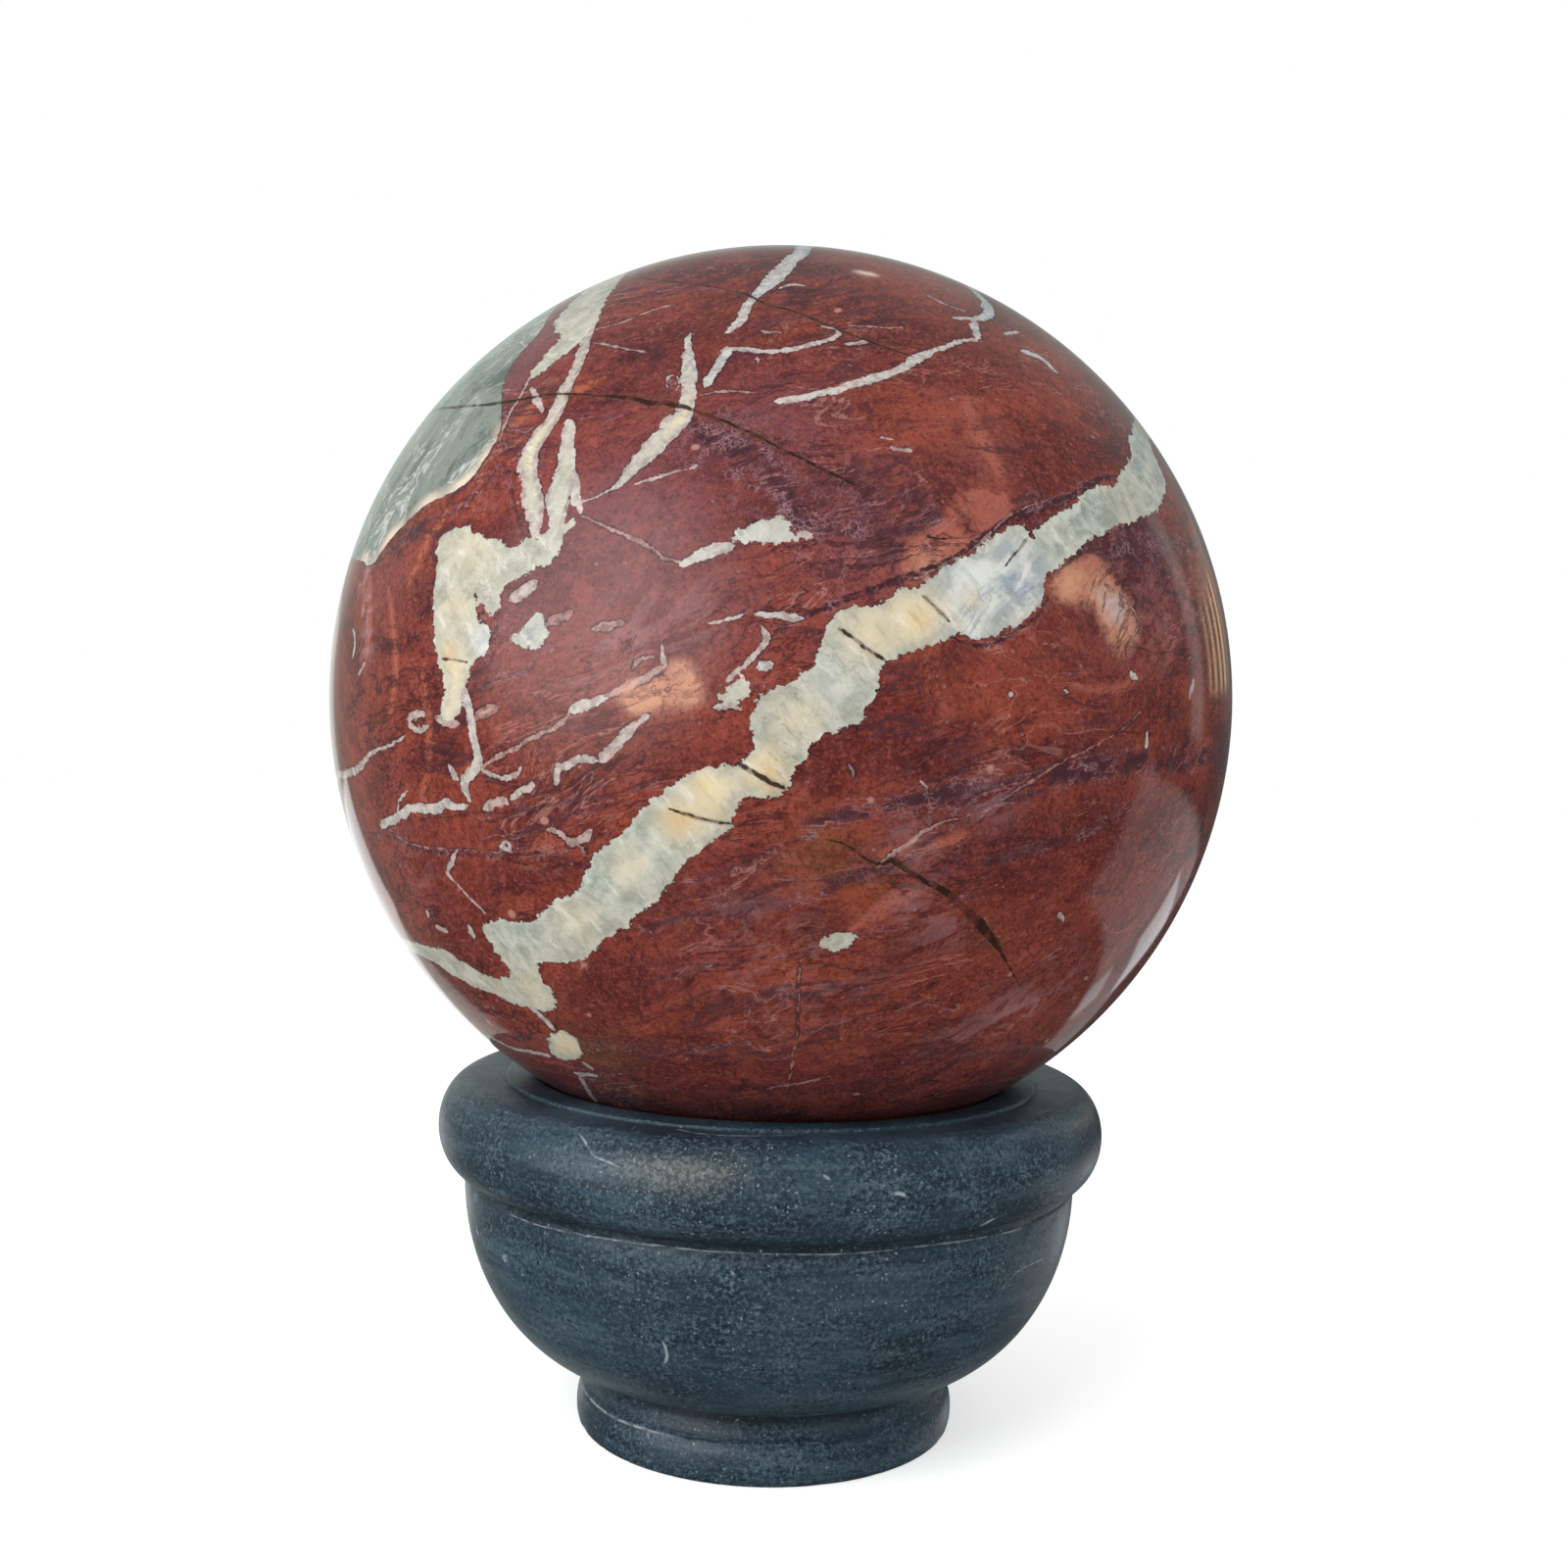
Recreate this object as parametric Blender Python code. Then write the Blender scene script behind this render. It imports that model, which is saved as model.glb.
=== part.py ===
# A polished marble sphere that rests in a turned stone stand.
# Both pieces are turned round the Z axis. The origin is the middle of the stand's underside.

import math

import bmesh
import bpy

# Sphere, in metres
SPHERE_RADIUS = 0.150

# Seat in the top of the stand
SEAT_RADIUS = 0.0806         # inner edge of the lip, where the sphere rests
SEAT_CLEARANCE = 0.0004      # between the sphere and the dish that follows it

# Rim: a flat lip, a small step down and a fat bead
LIP_WIDTH = 0.0098
LIP_STEP = 0.0011
BEAD_CROWN_WIDTH = 0.0110    # from the step out to the highest line of the bead
BEAD_CROWN_RISE = 0.0006     # how far that line stands above the foot of the step
BEAD_REACH = 0.0110          # from the highest line out to the widest
BEAD_HEIGHT = 0.0302
BEAD_OVERHANG = 0.0090       # the bead stands this far out over the ridge below it
FILLET_HEIGHT = 0.0024       # hollow between the bead and the ridge

# Bowl, from the ridge down to the neck
BOWL_HEIGHT = 0.0624
BOWL_INSET = 0.0076          # the curve would level out this far inside the neck
BOWL_FULLNESS = 0.95         # 1 is an ellipse, less is fuller

# Neck and foot
NECK_RADIUS = 0.0600
NECK_BAND_HEIGHT = 0.0025
NECK_FLARE_HEIGHT = 0.0063
NECK_FLARE_WIDTH = 0.0023
NECK_FLARE_TURN = math.radians(75)
FOOT_SWELL_HEIGHT = 0.0080   # from the foot's top edge down to its widest line
FOOT_SWELL_WIDTH = 0.0019    # how far the foot swells out past its top edge
FOOT_SWELL_TURN = math.radians(50)
FOOT_UNDERCUT_HEIGHT = 0.0028
FOOT_BEVEL_HEIGHT = 0.0022
FOOT_BEVEL_WIDTH = 0.0006

# Facets
SEGMENTS = 60                # round the axis, shared so that sphere and dish line up
SPHERE_ROWS = 30
SHARP_ANGLE = math.radians(28)
POLE_MERGE = 1e-6
QUARTER = math.pi / 2

# Heights of the stand, added up from its underside
widest_foot = FOOT_BEVEL_HEIGHT + FOOT_UNDERCUT_HEIGHT
foot_top = widest_foot + FOOT_SWELL_HEIGHT
flare_top = foot_top + NECK_FLARE_HEIGHT
neck_top = flare_top + NECK_BAND_HEIGHT
ridge_height = neck_top + BOWL_HEIGHT
fillet_top = ridge_height + FILLET_HEIGHT
bead_top = fillet_top + BEAD_HEIGHT
step_foot = bead_top - BEAD_CROWN_RISE
lip_height = step_foot + LIP_STEP

# Radii of the rim, added up from the seat
lip_edge = SEAT_RADIUS + LIP_WIDTH
crown_radius = lip_edge + BEAD_CROWN_WIDTH
rim_radius = crown_radius + BEAD_REACH
ridge_radius = rim_radius - BEAD_OVERHANG

# The sphere settles where its surface meets the inner edge of the lip
dish_radius = SPHERE_RADIUS + SEAT_CLEARANCE
seat_angle = math.asin(SEAT_RADIUS / dish_radius)
sphere_height = lip_height + dish_radius * math.cos(seat_angle)


def spread(first, last, steps):
    """Evenly spaced values from first to last, both included."""
    return [first + (last - first) * i / steps for i in range(steps + 1)]


def ellipse_arc(centre, reach, rise, first, last, steps):
    """Points of an upright ellipse; angles are measured up from the outward side."""
    r, z = centre
    return [(r + reach * math.cos(a), z + rise * math.sin(a)) for a in spread(first, last, steps)]


def sphere_profile():
    """Half circle from the top pole down the outer side to the bottom pole."""
    points = ellipse_arc((0, 0), SPHERE_RADIUS, SPHERE_RADIUS, QUARTER, -QUARTER, SPHERE_ROWS)
    return [(0.0, SPHERE_RADIUS)] + points[1:-1] + [(0.0, -SPHERE_RADIUS)]


def dish_profile():
    """The hollow under the sphere, from the axis out to the lip."""
    angles = spread(0, seat_angle, 8)
    return [(dish_radius * math.sin(a), sphere_height - dish_radius * math.cos(a)) for a in angles]


def rim_profile():
    """The flat lip, its step, the bead and the small hollow that ends at the ridge."""
    lip = [(lip_edge - LIP_STEP / 3, lip_height), (lip_edge, lip_height - LIP_STEP / 3)]
    step = [(lip_edge, step_foot)]
    crown = ellipse_arc((crown_radius, step_foot), -BEAD_CROWN_WIDTH, BEAD_CROWN_RISE, 0, QUARTER, 3)
    half_height = BEAD_HEIGHT / 2
    centre = (crown_radius, fillet_top + half_height)
    lowest = -math.acos(1 - BEAD_OVERHANG / BEAD_REACH)
    bead = ellipse_arc(centre, BEAD_REACH, half_height, QUARTER, lowest, 13)
    return lip + step + crown[1:-1] + bead + [(ridge_radius, ridge_height)]


def bowl_profile():
    """The belly under the ridge: steep at the ridge and almost level at the neck."""
    inner = NECK_RADIUS - BOWL_INSET
    reach = ridge_radius - inner
    end = math.acos((BOWL_INSET / reach) ** (1 / BOWL_FULLNESS))
    fall = BOWL_HEIGHT / math.sin(end)
    return [
        (inner + reach * math.cos(a) ** BOWL_FULLNESS, ridge_height - fall * math.sin(a))
        for a in spread(0, end, 11)[1:]
    ]


def foot_profile():
    """The neck's plain band, its flare, the arris, the swelling foot ring and the bevel below it."""
    band = [(NECK_RADIUS, flare_top)]
    flare_reach = NECK_FLARE_WIDTH / (1 - math.cos(NECK_FLARE_TURN))
    flare_rise = NECK_FLARE_HEIGHT / math.sin(NECK_FLARE_TURN)
    flare_centre = (NECK_RADIUS + flare_reach, flare_top)
    flare = ellipse_arc(flare_centre, -flare_reach, -flare_rise, 0, NECK_FLARE_TURN, 3)
    swell_reach = FOOT_SWELL_WIDTH / (1 - math.cos(FOOT_SWELL_TURN))
    swell_rise = FOOT_SWELL_HEIGHT / math.sin(FOOT_SWELL_TURN)
    swell_centre = (NECK_RADIUS + NECK_FLARE_WIDTH + FOOT_SWELL_WIDTH - swell_reach, widest_foot)
    lowest = -math.asin(FOOT_UNDERCUT_HEIGHT / swell_rise)
    swell = ellipse_arc(swell_centre, swell_reach, swell_rise, FOOT_SWELL_TURN, lowest, 7)
    bevel = [(swell[-1][0] - FOOT_BEVEL_WIDTH, 0.0)]
    return band + flare[1:-1] + swell + bevel + [(0.0, 0.0)]


def stone(name, colour, roughness):
    material = bpy.data.materials.new(name)
    material.use_nodes = True
    shader = material.node_tree.nodes["Principled BSDF"]
    shader.inputs["Base Color"].default_value = (*colour, 1.0)
    shader.inputs["Roughness"].default_value = roughness
    shader.inputs["Metallic"].default_value = 0.0
    return material


def turned(name, profile, material):
    """Spins a profile in the XZ plane once round the Z axis into one closed body."""
    shape = bmesh.new()
    points = [shape.verts.new((r, 0.0, z)) for r, z in profile]
    edges = [shape.edges.new(pair) for pair in zip(points, points[1:])]
    bmesh.ops.spin(
        shape,
        geom=points + edges,
        axis=(0, 0, 1),
        cent=(0, 0, 0),
        angle=math.tau,
        steps=SEGMENTS,
        use_merge=True,
    )
    bmesh.ops.remove_doubles(shape, verts=shape.verts, dist=POLE_MERGE)
    bmesh.ops.recalc_face_normals(shape, faces=shape.faces)
    mesh = bpy.data.meshes.new(name)
    shape.to_mesh(mesh)
    shape.free()
    mesh.materials.append(material)
    mesh.shade_smooth()
    mesh.set_sharp_from_angle(angle=SHARP_ANGLE)
    piece = bpy.data.objects.new(name, mesh)
    bpy.context.scene.collection.objects.link(piece)
    return piece


for old in list(bpy.data.objects):
    bpy.data.objects.remove(old)

# Stand: one turned block of honed dark stone
stand_profile = dish_profile() + rim_profile() + bowl_profile() + foot_profile()
stand = turned("stand", stand_profile, stone("honed dark stone", (0.034, 0.052, 0.070), 0.42))

# Sphere: polished red marble, resting in the dish
sphere = turned("sphere", sphere_profile(), stone("polished red marble", (0.190, 0.042, 0.035), 0.08))
sphere.location.z = sphere_height
sphere.parent = stand
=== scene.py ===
import math

import bmesh
import bpy
import numpy as np
from mathutils import Matrix, Vector, noise
from mathutils.bvhtree import BVHTree


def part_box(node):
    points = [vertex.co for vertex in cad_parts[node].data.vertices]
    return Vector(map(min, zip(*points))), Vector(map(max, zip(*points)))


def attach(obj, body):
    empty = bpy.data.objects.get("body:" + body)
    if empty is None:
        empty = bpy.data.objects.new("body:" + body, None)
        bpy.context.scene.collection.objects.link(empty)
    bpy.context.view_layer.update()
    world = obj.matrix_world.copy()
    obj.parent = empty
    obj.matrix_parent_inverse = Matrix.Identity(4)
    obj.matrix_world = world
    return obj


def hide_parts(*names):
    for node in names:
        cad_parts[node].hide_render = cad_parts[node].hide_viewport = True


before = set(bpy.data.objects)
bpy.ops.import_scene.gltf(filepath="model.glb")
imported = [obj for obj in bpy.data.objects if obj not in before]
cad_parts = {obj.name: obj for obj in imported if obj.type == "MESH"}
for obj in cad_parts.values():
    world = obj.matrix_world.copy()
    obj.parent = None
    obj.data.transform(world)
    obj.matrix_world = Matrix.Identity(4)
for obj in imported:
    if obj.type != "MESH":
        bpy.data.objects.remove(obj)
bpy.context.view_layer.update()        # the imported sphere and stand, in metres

print("frame loaded")

# Camera: where the photographer stood, measured in sphere radii and radians
viewpoint = {
    "lens": 38.95,           # mm
    "sensor": 36.0,          # mm
    "distance": 3.8915,      # from the middle of the sphere
    "height": -0.0288,       # angle of the camera over the middle of the sphere
    "turn": 0.0030,
    "tilt": -0.0477,
    "roll": 0.0251,
    "imageSize": 1600,
}

sphereLow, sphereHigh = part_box("sphere")
sphereMiddle = np.array((sphereLow + sphereHigh) / 2)
sphereRadius = (sphereHigh.z - sphereLow.z) / 2
toMm = 1000.0
radiusMm = sphereRadius * toMm


def cameraAxes(view):
    # right, up and ahead of the camera
    lift = view["tilt"] - view["height"]
    level = math.cos(lift)
    ahead = np.array((math.sin(view["turn"]) * level, math.cos(view["turn"]) * level, math.sin(lift)))
    side = np.cross(ahead, (0, 0, 1))
    side /= np.linalg.norm(side)
    over = np.cross(side, ahead)
    cosRoll, sinRoll = math.cos(view["roll"]), math.sin(view["roll"])
    return side * cosRoll + over * sinRoll, over * cosRoll - side * sinRoll, ahead


rightAxis, upAxis, aheadAxis = cameraAxes(viewpoint)
eyeOffset = viewpoint["distance"] * np.array(
    (0.0, -math.cos(viewpoint["height"]), math.sin(viewpoint["height"]))
)
eyePlace = sphereMiddle + eyeOffset * sphereRadius
focalPixels = viewpoint["lens"] / viewpoint["sensor"] * viewpoint["imageSize"]


def addCamera():
    lens = bpy.data.cameras.new("photo camera")
    lens.lens = viewpoint["lens"]
    lens.sensor_width = viewpoint["sensor"]
    lens.clip_start = 0.01
    holder = bpy.data.objects.new("photo camera", lens)
    bpy.context.scene.collection.objects.link(holder)
    turned = Matrix((rightAxis, upAxis, -aheadAxis)).transposed().to_4x4()
    holder.matrix_world = Matrix.Translation(eyePlace) @ turned
    bpy.context.scene.camera = holder


addCamera()
print("camera placed")


def raysThrough(pixels):
    # unit directions from the camera through image pixels
    half = viewpoint["imageSize"] / 2
    x = (pixels[:, :1] - half) / focalPixels
    y = (half - pixels[:, 1:2]) / focalPixels
    rays = aheadAxis + x * rightAxis + y * upAxis
    return rays / np.linalg.norm(rays, axis=1, keepdims=True)


def onSphere(pixels):
    # unit directions of the sphere's points behind pixels; past the outline they wrap round the back
    pixels = np.asarray(pixels, float)
    rays = raysThrough(pixels)
    along = rays @ eyeOffset
    closest = eyeOffset - along[:, None] * rays
    miss = np.linalg.norm(closest, axis=1)
    depth = np.sqrt(np.maximum(1 - miss**2, 0))
    hits = closest - depth[:, None] * rays
    towards = eyeOffset / np.linalg.norm(eyeOffset)
    sideways = closest - (closest @ towards)[:, None] * towards
    sideways /= np.linalg.norm(sideways, axis=1, keepdims=True)
    wrap = math.acos(1 / viewpoint["distance"]) + 1.6 * np.maximum(miss - 1, 0)
    beyond = np.cos(wrap)[:, None] * towards + np.sin(wrap)[:, None] * sideways
    return np.where((miss < 1)[:, None], hits, beyond)


def fromAngles(angles):
    # unit directions from degrees round to the right of the front, and degrees up
    turn, lift = np.radians(np.asarray(angles, float)[:, :2]).T
    return np.stack((np.sin(turn) * np.cos(lift), -np.cos(turn) * np.cos(lift), np.sin(lift)), 1)


def roundOff(route, times, closed=False):
    # cuts the corners of a route, with any widths carried along
    for _ in range(times):
        here = route if closed else route[:-1]
        after = np.roll(route, -1, 0) if closed else route[1:]
        cut = np.stack((here * 0.75 + after * 0.25, here * 0.25 + after * 0.75), 1)
        cut = cut.reshape(-1, route.shape[1])
        route = cut if closed else np.vstack((route[:1], cut, route[-1:]))
    return route


# Pale veins with a shape of their own: outlines in photo pixels
paleOutlines = {
    "great vein": (
        (1290, 350), (1225, 388), (1170, 415), (1156, 428), (1156, 441), (1151, 449), (1155, 462),
        (1151, 475), (1141, 485), (1138, 499), (1125, 494), (1103, 505), (1095, 518), (1078, 525),
        (1062, 537), (1053, 540), (1056, 549), (1049, 549), (1045, 532), (1032, 538), (1012, 548),
        (996, 562), (966, 578), (946, 591), (942, 598), (929, 601), (916, 601), (909, 611), (896, 618),
        (860, 621), (850, 631), (840, 645), (836, 664), (830, 681), (816, 688), (811, 693), (791, 701),
        (778, 706), (771, 716), (764, 736), (768, 750), (771, 763), (758, 776), (738, 783), (718, 784),
        (698, 793), (681, 803), (668, 816), (647, 832), (642, 842), (632, 852), (608, 869), (600, 882),
        (595, 899), (585, 915), (572, 915), (559, 925), (545, 942), (532, 942), (516, 937), (499, 939),
        (492, 945), (499, 962), (509, 975), (516, 985), (530, 992), (545, 980), (565, 983), (585, 982),
        (602, 972), (618, 958), (635, 949), (645, 939), (658, 929), (678, 912), (688, 895), (695, 882),
        (715, 869), (731, 856), (746, 846), (751, 829), (754, 816), (774, 812), (791, 816), (801, 809),
        (806, 793), (823, 773), (830, 756), (850, 746), (866, 737), (883, 737), (886, 720), (896, 705),
        (899, 680), (909, 674), (923, 669), (939, 661), (966, 651), (979, 646), (992, 651), (1009, 654),
        (1025, 645), (1045, 635), (1059, 621), (1065, 611), (1064, 598), (1069, 585), (1085, 575),
        (1102, 562), (1112, 552), (1125, 542), (1138, 538), (1155, 532), (1178, 522), (1186, 509),
        (1191, 495), (1183, 475), (1175, 459), (1172, 446), (1200, 430), (1250, 410), (1310, 392)),
    "lower fork": (
        (512, 978), (530, 988), (548, 978), (552, 998), (562, 1011), (567, 1025), (562, 1033),
        (545, 1031), (537, 1026), (532, 1028), (512, 1018), (486, 1008), (462, 995), (443, 982),
        (423, 972), (405, 962), (380, 958), (385, 948), (409, 957), (433, 965), (453, 968), (472, 982),
        (496, 995), (516, 998), (524, 993)),
    "cream foot": (
        (559, 1068), (562, 1055), (575, 1051), (588, 1061), (595, 1074), (592, 1081), (579, 1083),
        (565, 1078)),
    "hook vein": (
        (446, 550), (459, 542), (472, 537), (481, 535), (484, 545), (499, 552), (511, 547), (516, 557),
        (529, 558), (535, 548), (552, 548), (562, 535), (575, 533), (588, 528), (588, 535), (575, 545),
        (572, 562), (562, 575), (545, 581), (532, 590), (516, 595), (512, 608), (506, 628), (501, 628),
        (492, 618), (482, 601), (484, 615), (486, 631), (499, 641), (501, 668), (482, 671), (477, 694),
        (472, 711), (467, 734), (456, 741), (443, 737), (453, 714), (454, 701), (451, 684), (446, 671),
        (443, 654), (442, 628), (443, 605), (446, 581)),
    "wedge vein": (
        (650, 268), (633, 285), (615, 310), (610, 330), (595, 344), (588, 353), (562, 373), (545, 386),
        (537, 386), (555, 363), (575, 343), (565, 339), (565, 330), (575, 316), (598, 296), (622, 272)),
    "mid vein": (
        (748, 545), (764, 535), (781, 530), (797, 525), (804, 535), (820, 552), (797, 552), (777, 553),
        (761, 555), (748, 555)),
    "white islet": (
        (520, 651), (532, 644), (545, 625), (554, 625), (557, 641), (562, 644), (555, 658), (544, 663),
        (532, 658)),
    "seed": ((835, 962), (846, 953), (869, 952), (873, 960), (860, 968), (843, 968)),
    "bird islet": (
        (731, 715), (738, 704), (748, 700), (757, 692), (766, 696), (764, 708), (755, 718), (745, 721)),
}

# The grey-green patch at the left edge
greenOutline = (
    (640, 255), (600, 285), (577, 303), (562, 319), (551, 340), (527, 364), (513, 390), (511, 416),
    (511, 442), (499, 462), (479, 492), (456, 505), (433, 515), (409, 538), (389, 562), (380, 578),
    (366, 572), (340, 560), (300, 520), (280, 440), (330, 360), (420, 290), (500, 240), (600, 225),
)

# Paler red areas, of salmon and peach
salmonOutlines = {
    "over the great vein": (
        (922, 560), (929, 548), (946, 545), (950, 534), (961, 524), (970, 512), (974, 499), (985, 502),
        (1003, 496), (1018, 503), (1026, 500), (1034, 512), (1046, 518), (1032, 525), (1014, 540),
        (1000, 555), (984, 566), (966, 574), (950, 584), (934, 591), (922, 587), (918, 575)),
    # a peach patch of the stone, painted brighter to carry the soft highlight that lies on it
    "bright patch": (
        (634, 712), (650, 700), (668, 694), (682, 684), (697, 678), (708, 688), (708, 700), (713, 712),
        (700, 716), (681, 714), (662, 722), (644, 721)),
    "peach loop": (
        (1068, 595), (1088, 575), (1108, 565), (1122, 568), (1131, 588), (1151, 608), (1161, 628),
        (1165, 644), (1148, 668), (1135, 658), (1128, 638), (1115, 618), (1098, 611), (1078, 608)),
}

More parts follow.
